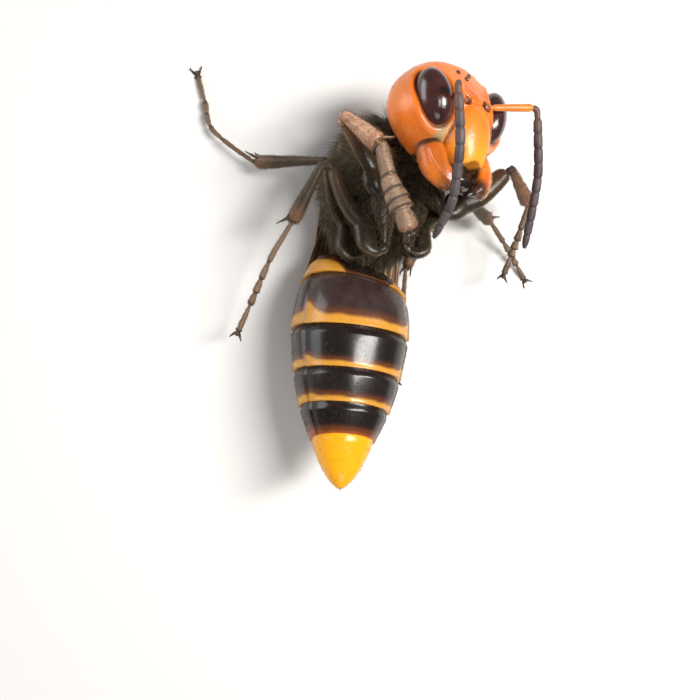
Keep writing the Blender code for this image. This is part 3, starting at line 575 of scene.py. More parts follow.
# from the elbow to the tip
ANTENNAE = {
    "right": ((3.2, 10.4, 22.3), (3.5, 4.8, 22.6), (3.7, 1.5, 21.6), (3.7, -1.1, 20.6), (3.2, -3.3, 19.0),
              (2.9, -4.5, 18.0)),
    "left": ((13.7, 10.5, 17.6), (14.7, 7.4, 17.3), (15.3, 3.6, 16.5), (15.3, -0.2, 15.5),
             (15.3, -4.2, 14.0)),
}
ELBOW_STUB, ELBOW_STEP, ELBOW_TURNS, ELBOW_RADIUS = 0.2, math.radians(24), 9, 0.6
SCAPE_GIRTH = ((0, 0.52), (0.07, 0.5), (0.13, 0.24), (0.25, 0.34), (0.8, 0.42), (0.96, 0.4), (1, 0.28))
FEELER_GIRTH = ((0, 0.26), (0.03, 0.36), (0.09, 0.34), (0.13, 0.48), (0.8, 0.48), (0.95, 0.384), (1, 0.2))


def smooth_way(points, count):
    """Evenly spaced points on a smooth curve through the given ones."""
    knots = [Vector(p) for p in points]
    knots = [2 * knots[0] - knots[1], *knots, 2 * knots[-1] - knots[-2]]
    fine = []
    for a, b, c, d in zip(knots, knots[1:], knots[2:], knots[3:]):
        for step in range(CURVE_STEPS):
            t = step / CURVE_STEPS
            fine.append(0.5 * (2 * b + (c - a) * t + (2 * a - 5 * b + 4 * c - d) * t**2
                               + (3 * b - a - 3 * c + d) * t**3))
    fine.append(knots[-2])
    return respaced(fine, [i / (count - 1) for i in range(count)])


def elbow(start, way, goal, radius):
    """Points that leave start along way and turn on the radius until they face the goal."""
    way = way.normalized()
    here = start + way * ELBOW_STUB
    points = [start.copy(), here.copy()]
    for _ in range(ELBOW_TURNS):
        to_goal = (goal - here).normalized()
        if way.angle(to_goal) < ELBOW_STEP:
            break
        way = Matrix.Rotation(ELBOW_STEP, 3, way.cross(to_goal).normalized()) @ way
        here = here + way * radius * ELBOW_STEP
        points.append(here.copy())
    points.append(goal.copy())
    return points


def painted(bm, name, rule):
    """Keep a share from 0 to 1 at each point, by a rule of the places along and around the skin."""
    along, around = bm.verts.layers.float["along"], bm.verts.layers.float["around"]
    layer = bm.verts.layers.float.new(name)
    for vert in bm.verts:
        vert[layer] = rule(vert[along], vert[around])


def drum_joint(along, width):
    """1 where two drums meet."""
    share = (along * DRUMS) % 1.0
    return hump(share, 0.0, width) + hump(share, 1.0, width)


def drum_waist(along, around):
    return -WAIST_DEPTH * drum_joint(along, 0.09) - DRUM_FLARE * (1 - (along * DRUMS) % 1.0)


SCAPE_FINISH = shell_finish("feeler_base", (0.80, 0.26, 0.035), (0.55, 0.13, 0.02),
                            (("dark", (0.10, 0.03, 0.015)),), roughness=0.32, mottling=600)
FEELER_FINISH = shell_finish("feeler_drums", (0.085, 0.060, 0.062), (0.045, 0.030, 0.033),
                             (("joint", (0.02, 0.014, 0.014)), ("rust", (0.16, 0.07, 0.045))),
                             roughness=0.5, bump=0.3, dimples=9000, mottling=900)
for name, side in SIDES.items():
    socket = HEAD @ Vector((side * SOCKET_AT[0], SOCKET_AT[1] - 0.3, SOCKET_AT[2]))
    elbow_at, *rest = [Vector(p) for p in ANTENNAE[name]]
    across = Vector((0, 0, 1)) if side > 0 else Vector((0, 1, 0))
    scape_way = [socket.lerp(elbow_at, i / 5) for i in range(6)]
    bm = limb(scape_way, SCAPE_GIRTH, across, rows=48, sides=24)
    painted(bm, "dark", lambda along, around: 0.8 * step_up(0.2 - along, 0.0, 0.1))
    made_piece(f"feeler_base_{name}", bm, SCAPE_FINISH, "head_shell", (f"antenna_{name}_scape",))
    out = (elbow_at - socket).normalized()
    turned = elbow(elbow_at - out * 0.1, out, rest[0], ELBOW_RADIUS)
    feeler_way = smooth_way([*turned, *rest[1:]], 81)
    bm = limb(feeler_way, FEELER_GIRTH, across, rows=180, sides=22, detail=drum_waist)
    painted(bm, "joint", lambda along, around: 0.8 * drum_joint(along, 0.06))
    painted(bm, "rust", lambda along, around: 0.7 * step_up(0.3 - along, 0.0, 0.3))
    made_piece(f"feeler_{name}", bm, FEELER_FINISH, "feeler",
               (f"antenna_{name}_base", f"antenna_{name}_tip"))

# The jaws: thick curved blades, orange outside and dark along the toothed inner edge, that close
# over each other under the face shield.
MANDIBLE_WAY = ((3.6, 1.1, 4.8), (3.6, 1.9, 6.5), (2.7, 2.7, 7.9), (1.3, 3.2, 8.7))
MANDIBLE_GIRTH = ((0, 1.2, 1.0), (0.1, 1.4, 1.15), (0.35, 1.52, 1.1), (0.6, 1.3, 0.95),
                  (0.85, 0.95, 0.7), (1, 0.3, 0.3))
# share of the jaw's length, reach, half thickness
TEETH = ((0.5, 2.0, 0.5), (0.66, 2.05, 0.52), (0.8, 1.9, 0.5), (0.92, 1.45, 0.42))
JAW_ROOT, JAW_POWER, FURROW_DEPTH = 0.8, 2.4, 0.07


def added(bm, other):
    """Put another mesh's faces into a mesh."""
    shape = bpy.data.meshes.new("added")
    other.to_mesh(shape)
    other.free()
    bm.from_mesh(shape)
    bpy.data.meshes.remove(shape)


def thorn(way, thick, waist, point, across, rows, sides):
    """A round thorn along a way. Waist: share of its length, and of its thickness there. Point: how
    thick it ends."""
    return limb(way, ((0, thick), (waist[0], thick * waist[1]), (1, point)), across, rows, sides)


def blade_groove(along, around):
    """A shallow furrow along the outer face."""
    return -FURROW_DEPTH * hump(around, 0.07, 0.035) * step_up(along, 0.15, 0.4)


JAW_FINISH = shell_finish("jaw_shell", (0.78, 0.20, 0.014), (0.60, 0.11, 0.008),
                          (("dark", (0.045, 0.015, 0.01)),), roughness=0.3, bump=0.22, dimples=3200,
                          mottling=500, coat=0.15, glow=0.1)
TOOTH_FINISH = shell_finish("jaw_teeth", (0.022, 0.011, 0.009), (0.012, 0.007, 0.006), roughness=0.22,
                            coat=0.4)
for name, side in SIDES.items():
    way = smooth_way([(side * x, y, z) for x, y, z in MANDIBLE_WAY], 13)
    whole = [way[0] - (way[1] - way[0]).normalized() * JAW_ROOT, *way]
    bm = limb(whole, MANDIBLE_GIRTH, Vector((side * 0.75, 0.6, 0)), rows=70, sides=48,
              detail=blade_groove, power=JAW_POWER)
    inward = Vector((-side * 0.95, 0.0, 0.3)).normalized()
    layer, along = bm.verts.layers.float.new("dark"), bm.verts.layers.float["along"]
    for vert in bm.verts:
        inner = (vert.co - respaced(whole, [vert[along]])[0]).normalized().dot(inward)
        edge = step_up(inner, 0.35, 0.7) * step_up(vert[along], 0.2, 0.4)
        vert[layer] = max(step_up(vert[along], 0.6, 0.88), edge, step_up(0.16 - vert[along], 0, 0.08))
    made_piece(f"jaw_{name}", bm, JAW_FINISH, "head_shell", (f"mandible_{name}",), HEAD)
    bm = bmesh.new()
    for share, reach, thick in TEETH:
        foot = respaced(way, [share])[0]
        tooth_way = [foot, foot + inward * reach * 0.6, foot + inward * reach + Vector((0, 0, 0.15))]
        added(bm, thorn(tooth_way, thick, (0.6, 0.75), 0.1, Vector((0, 1, 0)), rows=12, sides=14))
    made_piece(f"jaw_teeth_{name}", bm, TOOTH_FINISH, "head_shell", (), HEAD)

# The tongue and its feelers: a short bundle of soft dark folds. It hangs from the head's underside
# and closes the mouth behind the jaws.
MOUTH_WAY = ((0, -0.6, 3.2), (0, 0.2, 4.6), (0, 0.9, 6.0), (0, 1.5, 7.3), (0, 1.9, 8.5))
MOUTH_GIRTH = ((0, 1.1, 1.7), (0.5, 1.5, 2.0), (0.8, 1.4, 2.1), (0.93, 1.1, 1.6), (1, 0.2, 0.3))


def mouth_folds(along, around):
    return 0.05 * math.sin(around * 44) * step_up(along, 0.3, 0.6) + 0.04 * math.sin(along * 30)


bm = limb(smooth_way(MOUTH_WAY, 9), MOUTH_GIRTH, Vector((1, 0, 0)), rows=50, sides=60,
          detail=mouth_folds)
MOUTH_FINISH = shell_finish("mouth_skin", (0.016, 0.010, 0.008), (0.008, 0.005, 0.004), roughness=0.25,
                            bump=0.3, coat=0.3)
made_piece("mouth_bundle", bm, MOUTH_FINISH, "thorax_shell", ("mouthparts",), HEAD)

# The gaster: six plate rings that slide into one another, glossy brown-black with yellow rear rims,
# each made of a large back plate whose edge laps over the smaller belly plate. The last one is yellow.
PETIOLE_HEIGHT, JOINT_GAP, PETIOLE_LENGTH, GASTER_POWER = 1.8, 0.3, 0.8, 2.1
GASTER_WAY = (
    (-1.7, -8.0, 5.25), (-2.2, -10.0, 6.15), (-2.7, -13.6, 7.3), (-3.2, -19.6, 8.3), (-3.8, -25.6, 9.8),
    (-4.4, -31.7, 12.1),
)
# distance from the petiole, half width, depth of back, depth of belly
GASTER_FORM = (
    (0.0, 0.9, 0.8, 0.8), (0.75, 1.1, 0.9, 0.9), (1.05, 4.0, 2.0, 1.1), (1.6, 5.2, 3.2, 1.9),
    (2.5, 5.85, 4.2, 3.2), (4.0, 6.3, 5.1, 4.7), (6.5, 6.7, 5.8, 5.7), (9.0, 6.85, 6.0, 6.0),
    (12.0, 6.5, 5.8, 5.9), (15.0, 6.0, 5.4, 5.6), (18.0, 5.2, 4.7, 4.9), (20.5, 4.2, 3.9, 4.1),
    (22.5, 3.25, 3.1, 3.2), (24.5, 2.4, 2.3, 2.35), (26.2, 1.4, 1.4, 1.4), (27.2, 0.4, 0.4, 0.4),
)
GASTER_JOINTS = (0.0, 3.9, 9.3, 14.2, 18.2, 21.8, 27.2)
RINGS = len(GASTER_JOINTS) - 1
# degrees from the belly's middle to the back plate's edge, its step there, the front's hidden length
PLATE_EDGES, LAP_STEP, TUCK = (26, 72, 72, 72, 72, 72), 0.034, 0.9
# shares of a ring's skin that close its front and its rear, and the share between them
FRONT_TURN, REAR_TURN, PLATE_SPAN = 0.04, 0.045, 0.915
# a ring's girth where it is tucked in and what it gains past that, how far its rear rolls inwards,
# and how high its rim is
TUCKED_SCALE, UNTUCKED, REAR_ROLL, RIM_RISE = 0.945, 0.055, 0.6, 0.008
# for each ring: rim's width on the back, on the belly, and the lobe it grows at the belly's sides
RIMS = ((1.5, 0.0, 0.0), (1.15, 0.8, 1.3), (0.9, 0.68, 0.7), (0.8, 0.58, 0.3), (0.65, 0.3, 0.1), (9, 9, 0))
BELLY_COLOURS = (
    (0.014, 0.009, 0.007), (0.045, 0.025, 0.022), (0.011, 0.007, 0.006), (0.013, 0.008, 0.007),
    (0.010, 0.006, 0.005), (0.74, 0.29, 0.006),
)
BACK_COLOUR = (0.020, 0.008, 0.005)
RIM_COLOURS = ((0.60, 0.27, 0.032),) * 4 + ((0.28, 0.060, 0.012), (0.88, 0.38, 0.005))
PETIOLE = THORAX @ Vector((0, THORAX_BACK - JOINT_GAP, PETIOLE_HEIGHT))
BACKWARD = THORAX_TURN @ Vector((0, -1, 0))
GASTER_LENGTH = GASTER_FORM[-1][0]
GASTER_FRAMES = turning_frames(
    smooth_way([PETIOLE, PETIOLE + BACKWARD * PETIOLE_LENGTH, *GASTER_WAY], 81), Vector((1, 0, 0)))


def straight_form(stations, at):
    """Values of a form between its stations, on straight lines."""
    for low, high in zip(stations, stations[1:]):
        if at <= high[0]:
            share = max(0.0, (at - low[0]) / (high[0] - low[0]))
            return [a + (b - a) * share for a, b in zip(low[1:], high[1:])]
    return list(stations[-1][1:])


def gaster_point(mark, around, scale):
    """A place on the gaster at a distance from the petiole; around is 0.25 at the belly's middle."""
    point, side, upward = frame_at(GASTER_FRAMES, mark / GASTER_LENGTH)
    rows = form_at(GASTER_FORM, mark) if mark > 2.5 else straight_form(GASTER_FORM, mark)
    x, z = oval(rows[0] * scale, rows[2] * scale, rows[1] * scale, around, GASTER_POWER)
    return point + side * x - upward * z


def from_belly(around):
    """Degrees round the body from the belly's middle, 0 to 180."""
    return abs((around * 360 - 90 + 180) % 360 - 180)


def plate_mark(number, along):
    """How far from the petiole a place along a ring is, from its tucked front on."""
    start, end = GASTER_JOINTS[number - 1], GASTER_JOINTS[number]
    tuck = TUCK if number > 1 else 0.0
    return start - tuck + (end - start + tuck) * ((along - FRONT_TURN) / PLATE_SPAN)


def plate_surface(number, along, around):
    """One ring: a tucked front, the visible plate, a rolled rear rim, and closed inside."""
    start, end = GASTER_JOINTS[number - 1], GASTER_JOINTS[number]
    if along < FRONT_TURN:
        return gaster_point(plate_mark(number, FRONT_TURN), around, 0.9 * along / FRONT_TURN)
    if along > 1 - REAR_TURN:
        inside = (1 - along) / REAR_TURN
        roll = REAR_ROLL * min(1.0, 2.2 - 2.2 * inside) if number < RINGS else 0.0
        return gaster_point(end - roll, around, 0.93 * inside)
    mark = plate_mark(number, along)
    scale = 1.0
    if number > 1:
        scale = TUCKED_SCALE + UNTUCKED * step_up(mark, start - 0.1, start + 1.0)
    if number < RINGS:
        edge = PLATE_EDGES[number - 1]
        scale -= LAP_STEP * (1 - step_up(from_belly(around), edge - 1.5, edge + 1.0))
        scale += RIM_RISE * hump(mark, end - 0.12, 0.2)
    return gaster_point(mark, around, scale)


def band_width(number, degrees):
    """How wide the ring's pale rim is, by the degrees from the belly's middle."""
    back, belly, lobe = RIMS[number - 1]
    if number == 1:
        return back * step_up(degrees, 18, 44) - 0.3 * step_up(40 - degrees, 0, 20)
    if degrees > PLATE_EDGES[number - 1]:
        return back
    return belly + lobe * hump(degrees, 70, 15)


def plate_marks(bm, number):
    """The ring's rim, its red-brown border, its back plate, and painted shade along the line where that
    laps over.
    """
    names = ("along", "around", "rim", "back", "lap_shade", "blush")
    for name in names[2:]:
        bm.verts.layers.float.new(name)
    along, around, rim, back, lap_shade, blush = (bm.verts.layers.float[name] for name in names)
    edge = PLATE_EDGES[number - 1]
    for vert in bm.verts:
        distance = GASTER_JOINTS[number] - plate_mark(number, vert[along])
        degrees = from_belly(vert[around])
        wave = 0.035 * math.sin(vert[around] * 61) + 0.025 * math.sin(vert[around] * 113 + number)
        width = band_width(number, degrees)
        vert[rim] = 1 - step_up(distance - width, wave - 0.22, wave + 0.22)
        vert[back] = step_up(degrees, edge - 1, edge + 2)
        if number < RINGS:
            # painted shade in the crease under the back plate's edge
            vert[lap_shade] = 0.9 * hump(degrees, edge - 1.0, 1.4)
            vert[blush] = 0.8 * hump(distance, width + 0.25, 0.35)


for number in range(1, RINGS + 1):
    bm = wrapped(rows=120, sides=160,
                 surface=lambda along, around: plate_surface(number, along, around))
    plate_marks(bm, number)
    belly_colour = BELLY_COLOURS[number - 1]
    # the tint on the lap line is painted shade under the back plate's edge
    finish = shell_finish(
        f"gaster_plate_{number}", belly_colour, tuple(c * 0.55 for c in belly_colour),
        (("back", BACK_COLOUR if number < RINGS else belly_colour), ("blush", (0.13, 0.036, 0.010)),
         ("rim", RIM_COLOURS[number - 1]), ("lap_shade", (0.010, 0.006, 0.005))),
        roughness=0.25, bump=0.07, dimples=5200, mottling=700, coat=0.22, shine=0.3)
    made_piece(f"gaster_ring_{number}", bm, finish, "gaster_shell", (f"gaster_{number}",))

# The sting's tip: a thin hard needle, dark as the teeth. It is drawn into the last ring, so that
# only its point shows.
point, side, upward = frame_at(GASTER_FRAMES, 1.0)
ahead = (GASTER_FRAMES[-1][0] - GASTER_FRAMES[-3][0]).normalized()
sting_way = [point + ahead * reach for reach in (-1.0, -0.2, 0.35)]
bm = limb(sting_way, ((0, 0.2), (1, 0.03)), side, rows=12, sides=12)
made_piece("sting", bm, TOOTH_FINISH, "gaster_shell")

# The legs: six, each a stout coxa, a short trochanter, a flattened dark femur, a slimmer tibia with
# spurs at its end, and five small pale-brown foot joints that carry two hooked claws and a pad.
ON_THE_FLOOR, FOOT_FLAT = ("mid_left", "hind_right", "hind_left"), 0.05
# the root on the thorax, then for coxa, femur, tibia and the two halves of the foot: length, and
# the way it points, as degrees from the y axis and above the floor
LEGS = {
    "fore_right": ((-1.9, 5.0, 3.4), (5.8, -158, 33), (7.8, -37, 3), (5.2, 130, 43), (3.6, 164, 8),
                   (5.7, 155, 3)),
    "fore_left": ((1.9, 5.0, 3.4), (5.2, 158, 18), (9.1, 60, 2), (7.2, 114, -39), (4.6, -174, -19),
                  (4.5, -166, -13)),
    "mid_right": ((-2.2, 0.4, 4.2), (5.7, 176, 18), (9.8, -38, -4), (7.3, -147, -16), (4.6, -154, -19),
                  (9.3, -161, -19)),
    "mid_left": ((2.2, 0.4, 4.2), (5.2, -165, 27), (9.8, 49, -14), (9.1, 102, -42), (4.1, 131, -21),
                 (5.7, 137, -10)),
    "hind_right": ((-2.5, -3.6, 3.4), (3.1, -172, 21), (10.1, -24, -2), (9.4, -82, -41), (6.4, -54, -16),
                   (6.8, -17, -6)),
    "hind_left": ((2.5, -3.6, 3.4), (1.5, 151, 19), (9.9, 32, -19), (10.2, -164, -13), (6.0, 178, -14),
                  (7.8, -179, -3)),
}
HIP_RADIUS, KNEE_RADIUS = 1.05, 0.75
# how much thicker than the plain forms the coxa, femur and tibia are, and how far the femur bows
LEG_SWELL = {
    "fore_right": (1.0, 1.0, 1.5, 0.3), "fore_left": (1.0, 1.6, 1.1, 1.1),
    "mid_right": (1.0, 1.3, 1.0, 0.8), "mid_left": (1.1, 1.0, 1.0, 0.3),
    "hind_right": (1.0, 1.0, 1.0, 0.9), "hind_left": (1.0, 1.0, 1.0, 0.6),
}
SWELL_SHARE = 0.3
# half thickness in the plane of the leg and across it, at shares of the length
COXA_GIRTH = ((0, 1.2, 1.2), (0.08, 1.5, 1.5), (0.3, 1.45, 1.4), (0.65, 0.95, 0.9), (0.88, 0.6, 0.56),
              (1, 0.32, 0.32))
FEMUR_GIRTH = ((0, 0.3, 0.3), (0.03, 0.55, 0.5), (0.07, 0.62, 0.55), (0.095, 0.42, 0.4), (0.13, 0.66, 0.55),
               (0.3, 0.98, 0.68), (0.6, 0.94, 0.64), (0.85, 0.7, 0.54), (0.97, 0.52, 0.46), (1, 0.3, 0.3))
TIBIA_GIRTH = ((0, 0.28, 0.28), (0.06, 0.42, 0.4), (0.15, 0.42, 0.4), (0.5, 0.57, 0.52), (0.85, 0.76, 0.64),
               (0.96, 0.7, 0.62), (1, 0.36, 0.36))
BROAD_TOE, LONG_TOE, THIN_TOE = 1.3, 0.5, 0.42
TOE_GIRTH = dict.fromkeys(LEGS, THIN_TOE) | {"fore_right": BROAD_TOE, "fore_left": LONG_TOE}
TOE_SHARES, TOE_DEPTH = (0.0, 0.38, 0.53, 0.65, 0.75, 1.0), 0.6
TOE_SWELL, BROAD_SWELL = (0.75, 0.9, 1.0, 1.0, 0.75), (0.62, 0.84, 1.03, 1.05, 0.84)
TOE_END = ((0.94, 0.98), (0.97, 0.9), (0.99, 0.66))
CLAW_LENGTH, CLAW_GIRTH, CLAW_SPREAD = 1.15, 0.24, 38
SPUR_LENGTH, SPUR_GIRTH = 2.0, 0.2
SPUR_LEAN, PAD_RADIUS, PAD_REACH, NEEDLE, EDGE_WIDTH = 0.28, 0.28, 0.32, 0.03, 0.072
LEG_STEPS, TOE_STEPS, CLAW_STEPS = 61, 81, 21
# the "edge" tint of each leg and foot shell is a painted highlight along its thin edges
COXA_FINISH = shell_finish("coxa_shell", (0.030, 0.021, 0.012), (0.014, 0.009, 0.006),
                           (("edge", (0.15, 0.10, 0.05)),), roughness=0.36, bump=0.3, dimples=5200,
                           shine=0.35)
FEMUR_FINISH = shell_finish("femur_shell", (0.024, 0.018, 0.010), (0.012, 0.008, 0.005),
                            (("edge", (0.10, 0.065, 0.032)), ("knee", (0.20, 0.10, 0.055))),
                            roughness=0.3, bump=0.2, dimples=5600, shine=0.35)
TIBIA_FINISH = shell_finish("tibia_shell", (0.062, 0.042, 0.022), (0.030, 0.019, 0.011),
                            (("edge", (0.15, 0.10, 0.055)), ("knee", (0.23, 0.105, 0.055)),
                             ("dark", (0.025, 0.015, 0.010))),
                            roughness=0.4, bump=0.25, dimples=6400, shine=0.3)
FORE_TIBIA_FINISH = shell_finish("fore_tibia_shell", (0.55, 0.28, 0.16), (0.38, 0.175, 0.09),
                                 (("edge", (0.62, 0.42, 0.30)), ("knee", (0.30, 0.15, 0.08)),
                                  ("dark", (0.05, 0.022, 0.015))),
                                 roughness=0.36, bump=0.25, dimples=6400, glow=0.1)
TOE_FINISH = shell_finish("toe_shell", (0.19, 0.118, 0.066), (0.11, 0.063, 0.035),
                          (("edge", (0.28, 0.18, 0.11)), ("dark", (0.022, 0.012, 0.008))),
                          roughness=0.42, bump=0.25, dimples=7600)
FORE_TOE_FINISH = shell_finish("fore_toe_shell", (0.29, 0.18, 0.115), (0.17, 0.098, 0.058),
                               (("edge", (0.38, 0.26, 0.17)), ("knee", (0.25, 0.10, 0.055)),
                                ("dark", (0.022, 0.012, 0.008))),
                               roughness=0.42, bump=0.25, dimples=7600)
# how strong the warm tone is at the knee, and where it starts and is full on the shin
KNEE_TONE = dict.fromkeys(LEGS, 0.3) | {"fore_right": 0.9, "fore_left": 0.35, "mid_right": 0.25}
SHIN_TONE = dict.fromkeys(LEGS, (0.7, 0.95, 0.6)) | {"fore_left": (0.0, 0.35, 0.9)}
CLAW_FINISH = shell_finish("claw_horn", (0.050, 0.024, 0.014), (0.025, 0.012, 0.008), roughness=0.25,
                           coat=0.2)


def heading(azimuth, elevation):
    a, e = math.radians(azimuth), math.radians(elevation)
    return Vector((math.sin(a) * math.cos(e), math.cos(a) * math.cos(e), math.sin(e)))


def leg_joints(name):
    """Root, hip, knee, ankle, ball and tip of a leg."""
    root, *lengths = LEGS[name]
    joints = [THORAX @ Vector(root)]
    for length, azimuth, elevation in lengths:
        joints.append(joints[-1] + heading(azimuth, elevation) * length)
    low = TOE_GIRTH[name] * TOE_DEPTH
    if name in ON_THE_FLOOR:
        joints[-1].z = low - FOOT_FLAT
        joints[-2].z = max(joints[-2].z, low + 0.3)
    return joints


def toe_girth(name):
    """Five foot joints, each narrow at its root and flared at its end."""
    wide, deep = TOE_GIRTH[name], TOE_GIRTH[name] * TOE_DEPTH
    waist, swells = (0.84, BROAD_SWELL) if wide == BROAD_TOE else (0.55, TOE_SWELL)
    stations = [(0, deep * 0.4, wide * 0.35)]
    for start, end, swell in zip(TOE_SHARES, TOE_SHARES[1:], swells):
        span, flare = end - start, wide * swell
        stations += [(start + 0.06 * span + 0.002, deep * 0.7, flare * waist),
                     (start + 0.3 * span, deep * 0.85, flare * (0.5 * waist + 0.5)),
                     (end - 0.16 * span, deep * 0.98, flare * 0.98), (end - 0.05 * span, deep, flare)]
    stations[-2:] = [(at, deep * share, flare * share) for at, share in TOE_END]
    return (*stations, (1, 0.15, 0.2))


def edge_highlight(bm):
    """A painted highlight along the thin edge of a flattened joint."""
    painted(bm, "edge", lambda along, around: 0.75 * hump(around * 2 % 1.0, 0.5, EDGE_WIDTH))


def ringed(bm, shares, strength, width, arch=0.0):
    """Dark rings at shares of the length, arched towards the root on the broad faces."""
    def ring(along, around):
        at = along + arch * abs(math.sin(2 * math.pi * around))
        return max(strength * hump(at, share, width) for share in shares)
    painted(bm, "dark", ring)


def toned(bm, start, end, strength):
    """A warmer tone that comes in along a length, towards the knee."""
    painted(bm, "knee", lambda along, around: strength * step_up(along, start, end))


def swollen(girth, factor):
    """A girth that grows to factor times itself over the first third of the length."""
    stations = []
    for share, in_plane, cross in girth:
        grown = 1 + (factor - 1) * min(1.0, share / SWELL_SHARE)
        stations.append((share, in_plane * grown, cross * grown))
    return tuple(stations)


def bowed(start, goal, towards, height):
    """Points between two joints on an arc that rises to height on the given side."""
    along = (goal - start).normalized()
    rise = (towards - along * towards.dot(along)).normalized() * height
    return [start.lerp(goal, t) + rise * math.sin(math.pi * t) for t in (0.3, 0.5, 0.7, 0.85, 1.0)]


def leg_pieces(name):
    root, hip, knee, ankle, ball, tip = leg_joints(name)
    bend = (knee - hip).cross(ankle - knee).normalized()
    coxa_swell, femur_swell, tibia_swell, bow = LEG_SWELL[name]
    coxa_way = [root, root.lerp(hip, 0.3), root.lerp(hip, 0.65), hip + (hip - root) * 0.04]
    coxa = limb(coxa_way, swollen(COXA_GIRTH, coxa_swell), bend, rows=44, sides=36)
    edge_highlight(coxa)
    made_piece(f"coxa_{name}", coxa, COXA_FINISH, "leg_dark", (f"leg_{name}_coxa",))

    out = (hip - root).normalized()
    arc = bowed(hip, knee, ankle - knee, bow)
    femur_way = elbow(hip, out, arc[0], HIP_RADIUS) + arc[1:]
    femur_girth = swollen(FEMUR_GIRTH, femur_swell)
    femur = limb(smooth_way(femur_way, LEG_STEPS), femur_girth, bend, rows=90, sides=36)
    edge_highlight(femur)
    toned(femur, 0.55, 1.0, KNEE_TONE[name])
    made_piece(f"femur_{name}", femur, FEMUR_FINISH, "leg_dark", (f"leg_{name}_femur",))

    out = (femur_way[-1] - femur_way[-2]).normalized()
    tibia_way = elbow(knee - out * 0.1, out, ankle, KNEE_RADIUS)
    tibia_girth = swollen(TIBIA_GIRTH, tibia_swell)
    tibia = limb(smooth_way(tibia_way, LEG_STEPS), tibia_girth, bend, rows=80, sides=32)
    edge_highlight(tibia)
    toned(tibia, *SHIN_TONE[name])
    ringed(tibia, (0.03, 0.985), 0.8, 0.02)
    out = (tibia_way[-1] - tibia_way[-2]).normalized()
    inner = out.cross(bend)
    for lean, length in ((SPUR_LEAN, SPUR_LENGTH), (-SPUR_LEAN, SPUR_LENGTH * 0.75)):
        spike = (out * 0.9 + inner * 0.55 + bend * lean).normalized()
        foot = ankle - out * 0.7 + inner * 0.35 + bend * lean
        spur_way = [foot, foot + spike * length * 0.5, foot + spike * length]
        added(tibia, thorn(spur_way, SPUR_GIRTH, (0.5, 0.6), NEEDLE, bend, rows=14, sides=10))
    shin_finish, foot_finish = TIBIA_FINISH, TOE_FINISH
    if name == "fore_right":
        shin_finish, foot_finish = FORE_TIBIA_FINISH, FORE_TOE_FINISH
    made_piece(f"tibia_{name}", tibia, shin_finish, "leg_pale", (f"leg_{name}_tibia",))

    toe_way = elbow(ankle - out * 0.05, out, ball, KNEE_RADIUS) + [ball.lerp(tip, 0.5), tip]
    level = Vector((0, 0, 1)).cross(tip - ball).normalized()
    toes = limb(smooth_way(toe_way, TOE_STEPS), toe_girth(name), level, rows=170, sides=26)
    ring_width, arch = (0.019, 0.028) if TOE_GIRTH[name] == BROAD_TOE else (0.013, 0.0)
    ringed(toes, (0.0, *TOE_SHARES[1:-1]), 0.95, ring_width, arch)
    edge_highlight(toes)
    toned(toes, 0.88, 0.98, 0.7)
    lifted(toes)
    made_piece(f"foot_{name}", toes, foot_finish, "leg_pale", (f"leg_{name}_tarsus",))

    ahead = (tip - ball).normalized()
    curl = ahead.cross(level).normalized()
    claws = bmesh.new()
    for side in (-1, 1):
        spread = Matrix.Rotation(math.radians(side * CLAW_SPREAD), 3, curl) @ ahead
        way = [tip - spread * 0.42, tip + spread * CLAW_LENGTH * 0.45 - curl * 0.08,
               tip + spread * CLAW_LENGTH * 0.85 + curl * 0.1, tip + spread * CLAW_LENGTH + curl * 0.45]
        claw_way = smooth_way(way, CLAW_STEPS)
        added(claws, thorn(claw_way, CLAW_GIRTH, (0.6, 0.6), NEEDLE, level, rows=20, sides=12))
    bmesh.ops.create_uvsphere(claws, u_segments=16, v_segments=10, radius=PAD_RADIUS,
                              matrix=Matrix.Translation(tip + ahead * PAD_REACH))
    lifted(claws)
    made_piece(f"claws_{name}", claws, CLAW_FINISH, "leg_dark")


for name in LEGS:
    leg_pieces(name)

# The wings: thin amber sheets folded lengthwise, stiffened by raised brown veins, that come from
# under the tegulae, run down the flanks and lie beneath the gaster on the floor.
WING_WAYS = {
    "right": ((-4.7, 5.5, 6.0), (-6.0, 3.4, 3.7), (-5.5, 0.3, 1.6), (-5.0, -3.4, 0.75), (-4.2, -7.6, 0.3),
              (-3.6, -13.6, 0.25), (-3.9, -19.6, 0.25), (-4.4, -27.0, 0.25)),
    "left": ((6.2, 3.7, 3.8), (6.3, 0.85, 1.6), (5.0, -2.5, 0.6), (2.6, -7.0, 0.3), (1.3, -11.0, 0.25),
             (1.1, -15.6, 0.25), (0.7, -21.0, 0.25), (-0.3, -28.6, 0.25)),
}
MEMBRANE, VEIN_RISE, VEIN_WIDTH, WING_REST = 0.14, 0.14, 0.075, 0.03
PLEAT, CROSS_SLANT, CROSS_SHARPNESS, WING_GRID = 0.07, 0.02, 22, (200, 48)
FOREWING_FORM = (
    (0, 0.45), (0.1, 0.55), (0.2, 0.85), (0.32, 1.3), (0.45, 1.75), (0.6, 2.1), (0.78, 2.2), (0.9, 1.85),
    (0.97, 1.2), (1, 0.5),
)
HINDWING_FORM = ((0, 0.45), (0.15, 0.8), (0.4, 1.15), (0.75, 1.2), (0.93, 0.85), (1, 0.35))
HINDWING_SPAN, HINDWING_LIFT, HINDWING_SHIFT = (0.14, 0.68), 1.0, 2.0
WING_BANK, BANKED_SHARE, BANK_EASE = 58, 0.42, 0.2
# veins along the wing, as places across it, and cross veins: share of the length, from, to
FOREWING_VEINS, HINDWING_VEINS = (-0.92, -0.45, 0.15, 0.55, 0.78, 0.95), (-0.9, -0.3, 0.3, 0.7, 0.94)
CROSS_VEINS = ((0.44, 0.15, 0.78), (0.56, -0.45, 0.55), (0.63, 0.15, 0.78), (0.72, -0.45, 0.78),
               (0.8, 0.15, 0.95))


